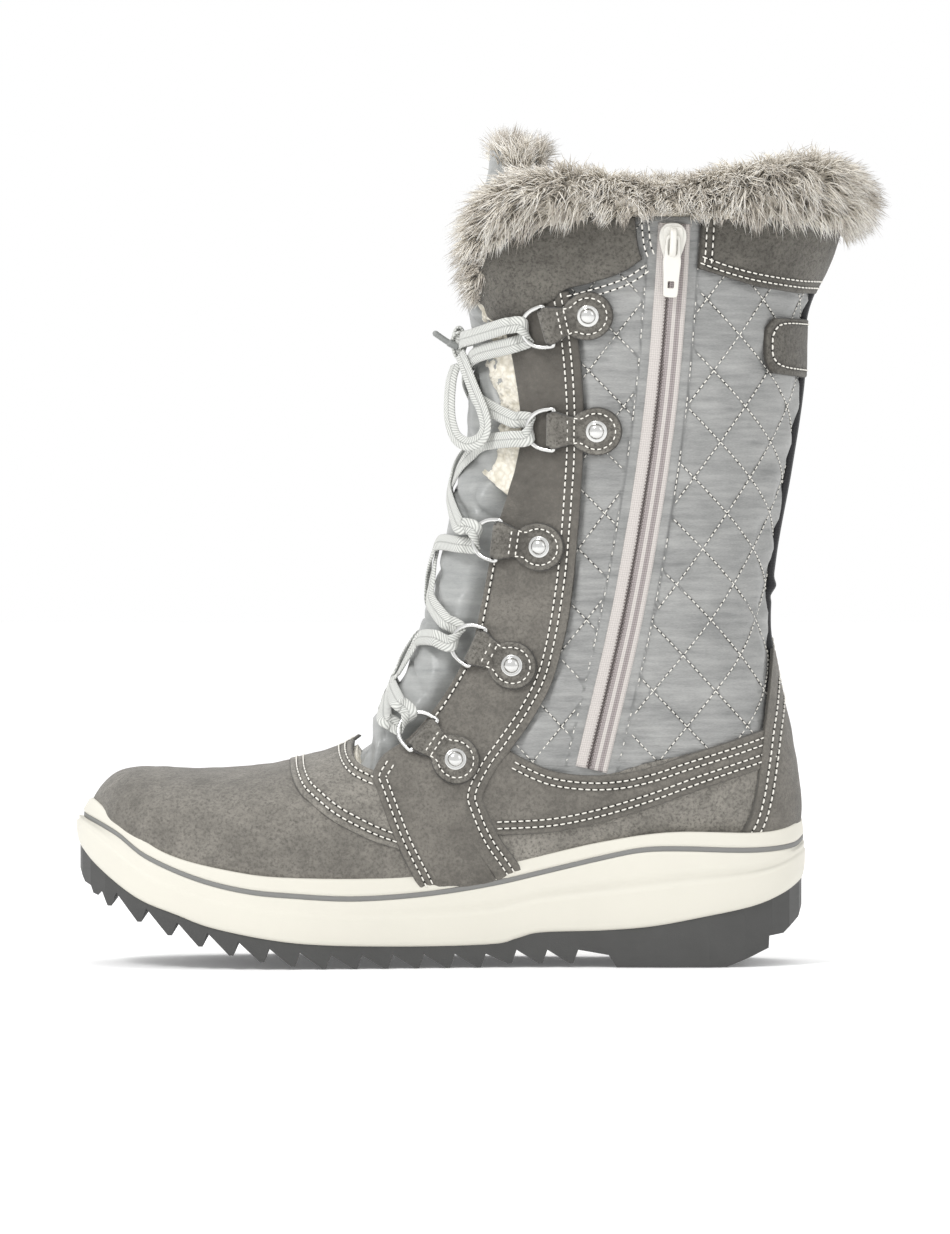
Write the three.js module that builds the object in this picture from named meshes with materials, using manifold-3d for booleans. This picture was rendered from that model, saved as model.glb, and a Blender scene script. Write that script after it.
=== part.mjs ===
// Women's snow boot, right foot, drawn in millimetres.
// +X points to the toe, +Y to the inner (medial) side, +Z up; the origin is on the
// floor under the flat of the heel.
//
// Every soft piece follows one function, the last: a fan of sections that starts at
// the toe, turns over the instep and climbs the shaft. Pieces of the upper are cut
// between two copies of the last, one a little larger than the other.

import * as THREE from 'three';
import Module from 'manifold-3d';

const wasm = await Module();
wasm.setup();

// ---------------------------------------------------------------- driving sizes
const GAP = 0.3;              // left between pieces that touch
const WALL = 3;               // shaft and vamp with their fleece
const PANEL = 1.6;            // suede panels
const TAB = 2;                // lace tabs, on top of the panels
const TAB_HEAD = 9.2;         // radius of a tab's round end
const TAB_HALF = 6.4;         // half the width of its strap
const TONGUE = 6.5;           // padded tongue
const INSOLE = 4.5;
const HEEL_FLAT = { from: -14, to: 28 };
const LUG = { pitch: 11.75, depth: 5.2, flat: 1.6, first: 221.5, count: 15 };
const RING = { wire: 0.95, half: 7.8, depth: 10.6 };
const RIVET = 3.1;            // radius of its domed head
const ZIP = { half: 7.4, tape: 1.2 };
const LACE = { width: 6.5, thick: 1.4 };

const AROUND = 18;            // points round a section
const SECTIONS = 19;          // sections from toe to collar

// ------------------------------------------------------------------- tables
/** Rows of numbers under named columns. */
const table = (columns, rows) =>
  rows.map((row) => Object.fromEntries(columns.map((name, i) => [name, row[i]])));

// The last. topX, topZ: the section's front or upper end. baseX, baseZ: its back or
// lower end. inner, outer: half widths. middle: where the widest place lies, from the
// base. topPower, basePower: how square each end is, where 2 is an ellipse.
const LAST = table(
  ['topX', 'topZ', 'baseX', 'baseZ', 'inner', 'outer', 'middle', 'topPower', 'basePower'],
  [
    [229.5, 52, 229.5, 52, 0, 0, 0.50, 2.2, 2.6],
    [226.4, 64.5, 226.8, 40, 16, 13, 0.50, 2.2, 2.6],
    [217, 72.6, 218, 33.5, 29.5, 26, 0.48, 2.3, 3.0],
    [200, 73.4, 202, 27, 40, 39.5, 0.46, 2.4, 3.4],
    [177, 73.2, 182, 21, 45, 47, 0.45, 2.4, 3.8],
    [155, 75.9, 160, 17.5, 46, 51, 0.44, 2.3, 4.0],
    [135, 80.7, 138, 17, 44, 50.5, 0.43, 2.2, 4.0],
    [121.5, 89.5, 112, 18, 40.5, 46.5, 0.42, 2.1, 4.0],
    [111, 104, 82, 22, 36.5, 41, 0.42, 2.0, 3.8],
    [104, 120, 50, 28.5, 34, 36.5, 0.42, 2.0, 3.4],
    [98, 138, 18, 32.4, 34, 35, 0.43, 2.0, 3.0],
    [93, 157, -12, 34.3, 34.8, 35.2, 0.45, 2.1, 2.8],
    [89, 173, -35, 39, 36.0, 36.2, 0.46, 2.2, 2.6],
    [86.3, 185, -41, 58, 37.2, 37.2, 0.47, 2.2, 2.5],
    [84.2, 195, -37.8, 85, 38.2, 38.2, 0.47, 2.1, 2.4],
    [82.9, 206, -32.6, 109, 39.4, 39.4, 0.47, 2.0, 2.3],
    [81.8, 218, -29.2, 131, 40.6, 40.6, 0.47, 2.0, 2.3],
    [80.8, 232, -31.6, 158, 41.8, 41.8, 0.47, 2.0, 2.2],
    [82, 249, -37.3, 190, 43.4, 43.4, 0.47, 2.2, 2.2],
    [85.2, 266, -42, 222, 45.2, 45.2, 0.47, 2.5, 2.2],
    [86.6, 284, -43.5, 250, 47.2, 47.2, 0.47, 2.6, 2.2],
    [86, 303, -53.5, 274, 49.0, 49.0, 0.47, 2.6, 2.2],
    [83, 322, -60, 296, 50.0, 50.0, 0.47, 2.6, 2.2],
  ],
);

// The sole seen from above: x, then the y of its inner and outer edge.
const PLAN = table(['x', 'inner', 'outer'], [
  [-45, 0, 0],
  [-41.5, 17, -17],
  [-31, 28.5, -28.5],
  [-12, 35.5, -35.5],
  [14, 36.5, -37],
  [44, 34.5, -37.5],
  [74, 35.5, -42],
  [104, 41, -49],
  [134, 47, -54.5],
  [162, 50, -54.5],
  [187, 47.5, -49.5],
  [208, 41, -40],
  [223, 30.5, -26],
  [232, 18.5, -10],
  [235, 4.5, 4.5],
]);

// Heights along the sole, from the heel to the toe.
const BITE = table(['x', 'z'], [
  [-46, 55], [-42.4, 54.3], [-35.4, 51.6], [-23.9, 50.4], [6.9, 50.8], [33.9, 47],
  [72.4, 38.5], [110.9, 33.9], [149.4, 33.9], [172.5, 36.2], [199.4, 43.1], [218.7, 56.2],
  [228, 64], [236, 69],
]);
const PARTING = table(['x', 'z'], [
  [-50, 41], [-46, 36.5], [-43.1, 32.7], [-35.4, 27.7], [-23.9, 23.3], [-4.6, 19.3], [14.6, 15.8],
  [33.9, 14.2], [57, 13.4], [66, 11.2], [76, 9], [110.9, 8.5], [149.4, 10], [180, 15.4],
  [195.6, 20.8], [211, 27], [226.4, 38.5], [236, 49], [240, 53],
]);

// Seams and edges of the upper, in side view as x, z.
const THROAT = [
  [124, 87.5], [127.4, 82.4], [127.4, 78.5], [124.4, 75.8], [118.6, 74.7], [116.7, 78.9],
  [106.3, 86.2], [95.5, 98.9], [86.6, 113.2], [82, 122], [78.5, 137.4], [73.5, 162.5],
  [67.8, 181.7], [65, 191.3], [63.1, 204.8], [65.5, 228], [69.3, 244], [75.5, 251.8],
  [78.2, 258.7], [80.2, 268.3], [79.5, 275],
];
const COLLAR_EDGE = [
  [79.5, 275], [74.3, 279.6], [64.7, 283.7], [50, 286.4], [25, 286.4], [0, 285],
  [-30, 284], [-54, 284],
];
const SADDLE_SEAM = [
  [153.2, 78.5], [152.1, 72], [149.4, 66.2], [145.5, 62.4], [137.8, 56.6], [130.1, 52.4],
  [120.5, 48.1], [106, 44],
];
const STAY_FRONT = [[116.7, 78.9], [120.9, 72], [119.4, 66.2], [112, 47], [103.2, 30]];
const STAY_REAR = [
  [60, 30], [65.8, 40], [73.5, 50.8], [78.5, 62.4], [78.9, 66.2], [73.5, 75.8],
  [68.5, 82.4], [58.9, 96.3], [51.2, 112.4], [45.4, 139.4], [42, 170.2], [40.4, 197.1],
  [40.4, 216.4], [42.4, 239.5], [47, 262],
];
const BAND_TOP = [
  [72, 84], [57, 76.6], [49.3, 74.3], [37.7, 73.2], [26.2, 73.9], [14.6, 76.6],
  [3.1, 80.5], [-16.2, 86.6], [-34, 92.5],
];
const COUNTER_FRONT = [
  [-18.1, 50.1], [-21.9, 56.6], [-24.3, 66.2], [-25.8, 77.8], [-27, 89.3], [-28.5, 100.9],
  [-29.6, 114.3], [-30, 120.6],
];
const COLLAR_LOW_FRONT = [
  [82, 252.9], [76.2, 252.9], [73.2, 247.2], [62.8, 247.9], [52, 253.7], [47.4, 258],
  [37.7, 260.6], [26.2, 264.5], [18.5, 269.5],
];
const COLLAR_LOW_REAR = [[-1.8, 266.2], [-23.9, 259.5], [-39.3, 257.6], [-60, 259]];
const ZIP_LINE = [[6.5, 283], [8.1, 255], [11.5, 215], [17, 175], [25, 130], [37.7, 75.5]];

// Lace stations, from the top: rivet, bar of the ring, and which way the tab points.
const STATIONS = table(['rivetX', 'rivetZ', 'barX', 'barZ'], [
  [38.5, 248.3, 52.7, 244.9],
  [35, 204.4, 50.6, 204.8],
  [56.2, 160.2, 71, 162.3],
  [67, 114.7, 79.6, 121],
  [89.3, 78.5, 100.6, 86.6],
]);

// ------------------------------------------------------------------ small maths
const V = (x, y, z) => new THREE.Vector3(x, y, z);
const lerp = THREE.MathUtils.lerp;
const smooth = (t) => THREE.MathUtils.smoothstep(t, 0, 1);

/** Uniform Catmull-Rom through four values. */
const spline = (a, b, c, d, t) =>
  0.5 * (2 * b + (c - a) * t + (2 * a - 5 * b + 4 * c - d) * t * t + (3 * b - a - 3 * c + d) * t ** 3);

/** A column of a table at fractional row s. before and after give the rows past the ends. */
function column(rows, key, s, before, after) {
  const i = Math.min(Math.floor(s), rows.length - 2);
  const a = i > 0 ? rows[i - 1][key] : before;
  const d = i + 2 < rows.length ? rows[i + 2][key] : after;
  return spline(a, rows[i][key], rows[i + 1][key], d, s - i);
}

/** Height of a rail at x, straight between its points. */
function height(rows, x) {
  let i = rows.findIndex((row) => row.x > x);
  i = Math.min(Math.max(i < 0 ? rows.length - 1 : i, 1), rows.length - 1);
  const [a, b] = [rows[i - 1], rows[i]];
  return lerp(a.z, b.z, (x - a.x) / (b.x - a.x));
}

// --------------------------------------------------------------------- the last
const LAST_END = LAST.length - 1;

/** The section of the last at fractional row s. */
function section(s) {
  const toe = LAST[1];
  const top = LAST[LAST_END - 1];
  const end = LAST[LAST_END];
  const past = (key) => 2 * end[key] - top[key];
  const value = (key, before) => column(LAST, key, s, before, past(key));
  return {
    top: V(value('topX', toe.baseX), 0, value('topZ', toe.baseZ)),
    base: V(value('baseX', toe.topX), 0, value('baseZ', toe.topZ)),
    inner: value('inner', -toe.outer),
    outer: value('outer', -toe.inner),
    middle: value('middle', toe.middle),
    topPower: value('topPower', toe.topPower),
    basePower: value('basePower', toe.basePower),
  };
}

/** Point of the last at section s and angle phi: 0 is the top, +90 degrees the inner side. */
function skin(s, phi) {
  const cut = section(s);
  const chord = cut.top.clone().sub(cut.base);
  const c = Math.cos(phi);
  const power = c > 0 ? cut.topPower : cut.basePower;
  const reach = c > 0 ? 1 - cut.middle : cut.middle;
  const width = Math.sin(phi) > 0 ? cut.inner : cut.outer;
  const r = (Math.abs(c) ** power + Math.abs(Math.sin(phi)) ** power) ** (-1 / power);
  const point = cut.base.clone().addScaledVector(chord, cut.middle + reach * r * c);
  point.y = width * r * Math.sin(phi);
  return point;
}

/** Outward unit normal of the last. */
function normal(s, phi) {
  if (s < 1e-3) return V(1, 0, 0);
  const step = 1e-3;
  const along = skin(Math.min(s + step, LAST_END), phi).sub(skin(s - step, phi));
  const round = skin(s, phi + step).sub(skin(s, phi - step));
  return along.cross(round).normalize().negate();
}

/** Point of the last moved out by offset. */
const last = (s, phi, offset = 0) => skin(s, phi).addScaledVector(normal(s, phi), offset);

/** Section and angle of the point that is seen at x, z from one side. */
function locate(x, z, side = 1) {
  const across = (s) => {
    const cut = section(s);
    return (cut.top.x - cut.base.x) * (z - cut.base.z) - (cut.top.z - cut.base.z) * (x - cut.base.x);
  };
  let [low, high] = [1, LAST_END];
  for (let i = 0; i < 40; i += 1) {
    const mid = (low + high) / 2;
    if (across(mid) > 0) low = mid;
    else high = mid;
  }
  const cut = section(low);
  const chord = cut.top.clone().sub(cut.base);
  const along = V(x, 0, z).sub(cut.base).dot(chord) / chord.lengthSq() - cut.middle;
  const power = along > 0 ? cut.topPower : cut.basePower;
  const c = Math.min(Math.abs(along) / (along > 0 ? 1 - cut.middle : cut.middle), 0.9999);
  const w = (1 - c ** power) ** (1 / power);
  return { s: low, phi: side * Math.atan2(w, c * Math.sign(along)) };
}

// ---------------------------------------------------------------------- solids
/** Geometry from points and triangles. */
function geometry(points, triangles) {
  const shape = new THREE.BufferGeometry();
  shape.setAttribute('position', new THREE.Float32BufferAttribute(points.flatMap((p) => [p.x, p.y, p.z]), 3));
  shape.setIndex(triangles.flat());
  return shape;
}

/** A manifold solid from points and triangles, turned right side out if need be. */
function solid(points, triangles) {
  const faces = triangles.map((t) => [...t]);
  let volume = 0;
  for (const [a, b, c] of faces) volume += points[a].dot(points[b].clone().cross(points[c]));
  if (volume < 0) faces.forEach((t) => t.reverse());
  return new wasm.Manifold(new wasm.Mesh({
    numProp: 3,
    vertProperties: Float32Array.from(points.flatMap((p) => [p.x, p.y, p.z])),
    triVerts: Uint32Array.from(faces.flat()),
  }));
}

/** Solid through rings of points. A ring of one point is a pole; closed joins last to first. */
function loft(rings, closed = false) {
  const points = rings.flat();
  const starts = [];
  let count = 0;
  for (const ring of rings) {
    starts.push(count);
    count += ring.length;
  }
  const triangles = [];
  const pairs = closed ? rings.length : rings.length - 1;
  for (let i = 0; i < pairs; i += 1) {
    const next = (i + 1) % rings.length;
    const [a, b] = [starts[i], starts[next]];
    const [m, n] = [rings[i].length, rings[next].length];
    for (let k = 0; k < Math.max(m, n); k += 1) {
      const k1 = (k + 1) % Math.max(m, n);
      if (m === 1) triangles.push([a, b + k, b + k1]);
      else if (n === 1) triangles.push([a + k1, a + k, b]);
      else triangles.push([a + k, b + k, b + k1], [a + k, b + k1, a + k1]);
    }
  }
  const cap = (ring, start, flip) => {
    points.push(ring.reduce((sum, p) => sum.add(p), V(0, 0, 0)).divideScalar(ring.length));
    for (let k = 0; k < ring.length; k += 1) {
      const pair = [start + k, start + ((k + 1) % ring.length)];
      triangles.push(flip ? [pair[1], pair[0], points.length - 1] : [...pair, points.length - 1]);
    }
  };
  if (!closed && rings[0].length > 1) cap(rings[0], starts[0], false);
  if (!closed && rings.at(-1).length > 1) cap(rings.at(-1), starts.at(-1), true);
  return solid(points, triangles);
}

/** The whole last as a solid, moved out by offset, up to section row end. */
function lastSolid(offset, end = LAST_END) {
  const rings = [[last(0, 0, offset)]];
  for (let i = 1; i <= SECTIONS; i += 1) {
    const s = end * (0.75 * (i / SECTIONS) + 0.25 * (i / SECTIONS) ** 1.6);
    rings.push(Array.from({ length: AROUND }, (_, k) => last(s, (2 * Math.PI * k) / AROUND, offset)));
  }
  return loft(rings);
}

/** True where a corner of an outline turns, and isn't only a point along a straight side. */
function turns([x, z], i, outline) {
  const size = outline.length;
  const [px, pz] = outline[(i + size - 1) % size];
  const [nx, nz] = outline[(i + 1) % size];
  return Math.abs((x - px) * (nz - z) - (z - pz) * (nx - x)) > 1e-4;
}

/** Prism of a side-view outline, from y = low to y = high. */
function sidePrism(outline, low = -90, high = 90) {
  const corners = outline.filter(turns).map(([x, z]) => new THREE.Vector2(x, z));
  if (THREE.ShapeUtils.isClockWise(corners)) corners.reverse();
  const size = corners.length;
  const points = [low, high].flatMap((y) => corners.map((corner) => V(corner.x, y, corner.y)));
  const triangles = [];
  for (const [a, b, c] of THREE.ShapeUtils.triangulateShape(corners, [])) {
    const left = corners[b].clone().sub(corners[a]).cross(corners[c].clone().sub(corners[a])) > 0;
    const face = left ? [a, b, c] : [c, b, a];
    triangles.push(face, face.map((corner) => corner + size).reverse());
  }
  for (let i = 0; i < size; i += 1) {
    const j = (i + 1) % size;
    triangles.push([j, i, i + size], [j, i + size, j + size]);
  }
  return solid(points, triangles);
}

/** A side-view outline moved out by distance along its mean normals. */
function grow(outline, distance) {
  const size = outline.length;
  let area = 0;
  outline.forEach(([x, z], i) => {
    const [nx, nz] = outline[(i + 1) % size];
    area += x * nz - nx * z;
  });
  const sign = Math.sign(area);
  return outline.map(([x, z], i) => {
    const [px, pz] = outline[(i + size - 1) % size];
    const [nx, nz] = outline[(i + 1) % size];
    const before = new THREE.Vector2(x - px, z - pz).normalize();
    const after = new THREE.Vector2(nx - x, nz - z).normalize();
    const bisector = before.add(after).normalize();
    return [x + sign * bisector.y * distance, z - sign * bisector.x * distance];
  });
}

/** Tube of a few sides along points; up is never along them; closed makes a ring. */
function tube(path, radius, sides, up, closed = false) {
  const size = path.length;
  const rings = path.map((point, i) => {
    const ahead = path[closed ? (i + 1) % size : Math.min(i + 1, size - 1)];
    const behind = path[closed ? (i + size - 1) % size : Math.max(i - 1, 0)];
    const tangent = ahead.clone().sub(behind).normalize();
    const out = tangent.clone().cross(up).normalize();
    const over = out.clone().cross(tangent).normalize();
    return Array.from({ length: sides }, (_, k) => {
      const turn = (2 * Math.PI * (k + 0.5)) / sides;
      return point.clone().addScaledVector(out, radius * Math.cos(turn)).addScaledVector(over, radius * Math.sin(turn));
    });
  });
  return loft(rings, closed);
}

/** Flat lace along points, lying square to the normals. */
function ribbon(path, normals, width = LACE.width, thick = LACE.thick) {
  const rings = path.map((point, i) => {
    const tangent = path[Math.min(i + 1, path.length - 1)].clone().sub(path[Math.max(i - 1, 0)]).normalize();
    const across = normals[i].clone().cross(tangent).normalize();
    const up = tangent.clone().cross(across).normalize();
    return [[1, 1], [-1, 1], [-1, -1], [1, -1]].map(([a, b]) =>
      point.clone().addScaledVector(across, (a * width) / 2).addScaledVector(up, (b * thick) / 2));
  });
  return loft(rings);
}

// ----------------------------------------------------------------- finished group
const boot = new THREE.Group();
const finish = (color, roughness = 0.9, metalness = 0) => ({ color, roughness, metalness });
const SUEDE = finish(0x716c66, 0.95);
const NYLON = finish(0x9b9d9c, 0.55);
const RUBBER = finish(0x3d3e40, 0.75);
const FOAM = finish(0xe9e8de, 0.6);
const FUR = finish(0x8f8881, 1);
const FLEECE = finish(0xe8e2d0, 1);
const METAL = finish(0xc8c8c8, 0.25, 1);
const ENAMEL = finish(0xdadad6, 0.4, 0.2);
const CORD = finish(0xaaaca8, 0.85);

/** Adds a solid to the boot as a named mesh; only its largest body is kept. */
function add(name, body, look) {
  const bodies = body.decompose().sort((a, b) => b.volume() - a.volume());
  const mesh = bodies[0].getMesh();
  const points = [];
  for (let i = 0; i < mesh.vertProperties.length; i += mesh.numProp) {
    points.push(V(mesh.vertProperties[i], mesh.vertProperties[i + 1], mesh.vertProperties[i + 2]));
  }
  const triangles = [];
  for (let i = 0; i < mesh.triVerts.length; i += 3) triangles.push(Array.from(mesh.triVerts.slice(i, i + 3)));
  const part = new THREE.Mesh(geometry(points, triangles), new THREE.MeshStandardMaterial(look));
  part.name = name;
  boot.add(part);
}

// ------------------------------------------------------------------------- sole
const PLAN_END = PLAN.length - 1;

/** Point of the sole's outline at fractional row t, moved in by inset. */
function edge(t, side, inset = 0) {
  const other = side === 'inner' ? 'outer' : 'inner';
  const at = (u) => {
    const s = Math.min(Math.max(u, 0), PLAN_END);
    const x = column(PLAN, 'x', s, PLAN[1].x, PLAN[PLAN_END - 1].x);
    return new THREE.Vector2(x, column(PLAN, side, s, PLAN[1][other], PLAN[PLAN_END - 1][other]));
  };
  const point = at(t);
  const tip = t < 1e-6 || t > PLAN_END - 1e-6;
  const way = at(t + 0.01).sub(at(t - 0.01)).normalize();
  const inward = new THREE.Vector2(way.y, -way.x).multiplyScalar(side === 'inner' ? 1 : -1);
  if (tip) inward.set(t < 1 ? 1 : -1, 0);
  return point.addScaledVector(inward, inset);
}

/** Solid inside the sole's outline between two rails, with a wall that leans in to the top. */
function soleBody(steps, levels) {
  const rings = [];
  const place = (t, side, level) => {
    const p = edge(t, side, level.inset(edge(t, side).x));
    return V(p.x, p.y, level.z(p.x));
  };
  for (const level of levels) {
    const ring = [];
    for (let i = 0; i < steps; i += 1) ring.push(place((PLAN_END * i) / steps, 'inner', level));
    for (let i = 0; i < steps; i += 1) ring.push(place((PLAN_END * (steps - i)) / steps, 'outer', level));
    rings.push(ring);
  }
  const size = 2 * steps;
  const points = rings.flat();
  const triangles = [];
  for (let r = 0; r + 1 < rings.length; r += 1) {
    for (let k = 0; k < size; k += 1) {
      const [a, b] = [r * size + k, r * size + ((k + 1) % size)];
      triangles.push([a, a + size, b + size], [a, b + size, b]);
    }
  }
  const top = (rings.length - 1) * size;
  const mirror = (k) => (size - k) % size;
  for (let k = 0; k < steps; k += 1) {
    const quad = [k, k + 1, mirror(k + 1), mirror(k)];
    const faces = [[quad[0], quad[1], quad[2]], [quad[0], quad[2], quad[3]]]
      .filter((face) => new Set(face).size === 3);
    for (const face of faces) {
      triangles.push(face);
      triangles.push(face.map((v) => v + top).reverse());
    }
  }
  return solid(points, triangles);
}

const lean = (x) => 1.4 + 4.6 * smooth((x - 196) / 34);
const bite = (x) => height(BITE, x);
const parting = (x) => height(PARTING, x);

// The lugs lean back: a long face to the toe, a steep one to the heel.
const spring = (x) => 0.0029 * Math.max(x - 132, 0) ** 2;
function treadLine() {
  const line = [[-50, 35], [-45.5, 31], [-44.6, 24], [-42, 18], [-36, 12.4], [-30.5, 11.6], [-30.2, 7]];
  line.push([-23, 3.6], [HEEL_FLAT.from, 0], [HEEL_FLAT.to, 0], [31, 4.6]);
  for (let i = LUG.count; i >= 0; i -= 1) {
    const tip = LUG.first - LUG.pitch * i;
    const lift = spring(tip) + (tip < 75 ? 1.4 : 0);
    line.push([tip - 2.6, lift + LUG.depth], [tip - LUG.flat / 2, lift], [tip + LUG.flat / 2, lift]);
  }
  line.push([224.5, 28.6], [226, 27], [228, 27.8], [229, 30.6], [231.5, 31.8], [234, 37], [235.5, 45]);
  return line;
}
const slab = (low, high) => [...low, ...[...high].reverse()];
const railLine = (rows, lift) => rows.map(({ x, z }) => [x, z + lift]);

const lastGap = lastSolid(GAP);
const midsole = soleBody(24, [
  { z: (x) => parting(x) - 2, inset: () => 0.9 },
  { z: (x) => lerp(parting(x), bite(x), 0.4), inset: () => 0 },
  { z: (x) => lerp(parting(x), bite(x), 0.75), inset: (x) => lean(x) * 0.35 },
  { z: (x) => bite(x) + 1.5, inset: lean },
]).subtract(sidePrism(slab([[-50, -5], [240, -5]], railLine(PARTING, GAP))))
  .subtract(sidePrism(slab(railLine(BITE, 0), [[-60, 120], [250, 120]]))).subtract(lastGap);
add('midsole', midsole, FOAM);

const outsoleSlab = sidePrism(slab(treadLine(), railLine(PARTING, 0)));
const outsolePlan = soleBody(22, [
  { z: () => -2, inset: () => 1.2 },
  { z: () => 60, inset: () => 1.2 },
]);
let outsole = outsolePlan.intersect(outsoleSlab);
for (const y of [-17, 13]) {
  outsole = outsole.subtract(sidePrism([[78, -1], [190, -1], [190, 16], [150, 6], [78, 4.2]], y, y + 4));
}
add('outsole', outsole, RUBBER);

// ------------------------------------------------------------------------ upper
const baseRail = Array.from({ length: 25 }, (_, i) => skin(1 + (11.6 * i) / 24, Math.PI));
const floorLine = (lift) => [[236, 30], ...baseRail.map((p) => [p.x, p.z + lift]), [-60, 40]];
const belowFloor = sidePrism([...floorLine(WALL + 0.4), [-60, -20], [236, -20]]);
const throatOutline = [...THROAT, [82, 300], [140, 300], [150, 100]];
const collarOutline = [...COLLAR_EDGE, [-90, 283], [-90, 360], [140, 360], [140, 275]];

/** Wall of the upper, thicker by swell on every face. */
const wall = (swell) => lastSolid(swell).subtract(lastSolid(-WALL - swell))
  .subtract(sidePrism(grow(throatOutline, -swell))).subtract(sidePrism(grow(collarOutline, -swell)));
add('upper', wall(0).subtract(belowFloor), NYLON);

const insoleTop = floorLine(INSOLE);
const insole = lastSolid(-WALL - GAP).intersect(sidePrism([...insoleTop, [-60, -20], [236, -20]]));
add('insole', insole, FLEECE);

// ----------------------------------------------------------------------- tongue
const throatSide = THROAT.slice(5).map(([x, z]) => locate(x, z)).sort((a, b) => a.s - b.s);

/** Angle at which the edge of the throat opening crosses section s. */
function throatAngle(s) {
  const i = Math.max(throatSide.findIndex((point) => point.s > s), 1);
  const [a, b] = s > throatSide.at(-1).s ? throatSide.slice(-2) : [throatSide[i - 1], throatSide[i]];
  const t = THREE.MathUtils.clamp((s - a.s) / (b.s - a.s), 0, 1);
  return lerp(a.phi, b.phi, t);
}

/** Padded tongue: crowned in the throat, tucked behind the edges of the opening. */
function tongueSolid(swell) {
  const rows = 14;
  const rings = [];
  for (let i = 0; i <= rows; i += 1) {
    const s = lerp(6.3, LAST_END - 0.05, i / rows);
    const puff = smooth((s - 20.6) / 1.2);
    const hidden = Math.max(smooth((7.9 - s) / 0.6), smooth((s - 16.4) / 1.2));
    const tilt = 5 * smooth((s - 19.5) / 2);
    const side = throatAngle(s);
    const stops = [0, 0.4 * side, side - 0.25, side - 0.1, side + 0.1, side + 0.24 + 0.03 * swell];
    const layer = (phi, inner) => {
      const tuck = Math.max(smooth((Math.abs(phi) - side + 0.24) / 0.13), hidden);
      const face = lerp(2.4, -WALL - 1.7, tuck) - tilt + puff * 3;
      const depth = inner ? TONGUE - 3 * tuck + puff * 8 + swell : -swell;
      return last(s, phi, face - depth);
    };
    const angles = [...stops.slice(1).reverse().map((phi) => -phi), ...stops];
    rings.push([...angles.map((phi) => layer(phi, false)), ...angles.reverse().map((phi) => layer(phi, true))]);
  }
  return loft(rings);
}
add('tongue', tongueSolid(0), NYLON);

// ----------------------------------------------------------------- suede panels
const belowBite = sidePrism(slab([[-80, -5], [250, -5]], [[-80, 54], ...railLine(BITE, GAP), [250, 75]]));
const throatCut = sidePrism(throatOutline);
const collarCut = sidePrism(collarOutline);

/** Shell round the last between two offsets, within the boot's own openings. */
const layer = (low, thick) => lastSolid(low + thick).subtract(lastSolid(low))
  .subtract(belowBite).subtract(throatCut).subtract(collarCut);
const suede = layer(GAP, PANEL);

const SIDES = [['medial', 1], ['lateral', -1]];
const half = (outline, side) => (side > 0 ? sidePrism(outline, 0, 90) : sidePrism(outline, -90, 0));

const collarFront = [...COLLAR_LOW_FRONT, [21.6, 284], [21.6, 300], [92, 300], [92, 252.9]];
const collarRear = [...COLLAR_LOW_REAR, [-90, 259], [-90, 300], [-1.8, 300]];
const collarLateral = [...COLLAR_LOW_FRONT.slice(0, -1), [15, 266.5], [-2, 266.4], [-2, 300], [92, 300], [92, 252.9]];
const stay = [...STAY_REAR, [88, 262], [100, 180], [122, 100], [117, 82], ...STAY_FRONT];
const saddle = [...SADDLE_SEAM, [100, 50], [106, 74], [110, 86], [120, 105], [153.2, 105]];
const counter = [...COUNTER_FRONT, [-80, 120.6], [-80, 20], [-18.1, 20]];
const band = [...BAND_TOP, [-34, 20], [72, 20]];
const vamp = [[153.2, 105], ...SADDLE_SEAM, [96, 20], [250, 20], [250, 105]];
const rearTab = [[-26.6, 241.4], [-28, 246.8], [-31.6, 248.7], [-80, 248.7], [-80, 225.2], [-42, 225.2],
  [-29.6, 227.9], [-26.6, 231.8]];

for (const [name, side] of SIDES) {
  const collarGap = half(grow(side > 0 ? collarFront : collarLateral, GAP), side);
  add(`eyestay_${name}`, suede.intersect(half(stay, side)).subtract(collarGap), SUEDE);
  const quarter = suede.intersect(half(band, side)).subtract(half(grow(stay, GAP), side));
  add(`quarter_${name}`, quarter.subtract(sidePrism(grow(counter, GAP))), SUEDE);
}
const stayGap = sidePrism(grow(stay, GAP));
add('saddle', suede.intersect(sidePrism(saddle)).subtract(stayGap), SUEDE);
add('vamp', suede.intersect(sidePrism(vamp)).subtract(sidePrism(grow(saddle, GAP))).subtract(stayGap), SUEDE);
add('heel_counter', suede.intersect(sidePrism(counter)), SUEDE);
add('collar_medial', suede.intersect(half(collarFront, 1)), SUEDE);
add('collar_rear', suede.intersect(sidePrism(collarRear).add(half(collarLateral, -1))), SUEDE);
add('rear_tab', suede.intersect(sidePrism(rearTab)), SUEDE);

// ------------------------------------------------------------------- side zipper
const zipEdge = (side) => ZIP_LINE.map(([x, z], i) => {
  const [ax, az] = ZIP_LINE[Math.max(i - 1, 0)];
  const [bx, bz] = ZIP_LINE[Math.min(i + 1, ZIP_LINE.length - 1)];
  const run = Math.hypot(bx - ax, bz - az);
  return [x - (side * ZIP.half * (bz - az)) / run, z + (side * ZIP.half * (bx - ax)) / run];
});
add('zip_tape', layer(GAP, ZIP.tape).intersect(half(slab(zipEdge(1), zipEdge(-1)), 1)), NYLON);

/** Axes on the skin at x, z: forward points to aheadX, aheadZ, out is the normal. */
function seat(x, z, side, offset, aheadX, aheadZ) {
  const here = locate(x, z, side);
  const there = locate(aheadX, aheadZ, side);
  const origin = last(here.s, here.phi, offset);
  const out = normal(here.s, here.phi);
  const forward = last(there.s, there.phi, offset).sub(origin);
  forward.addScaledVector(out, -forward.dot(out)).normalize();
  const across = out.clone().cross(forward).normalize();
  return { origin, out, forward, across };
}

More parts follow.
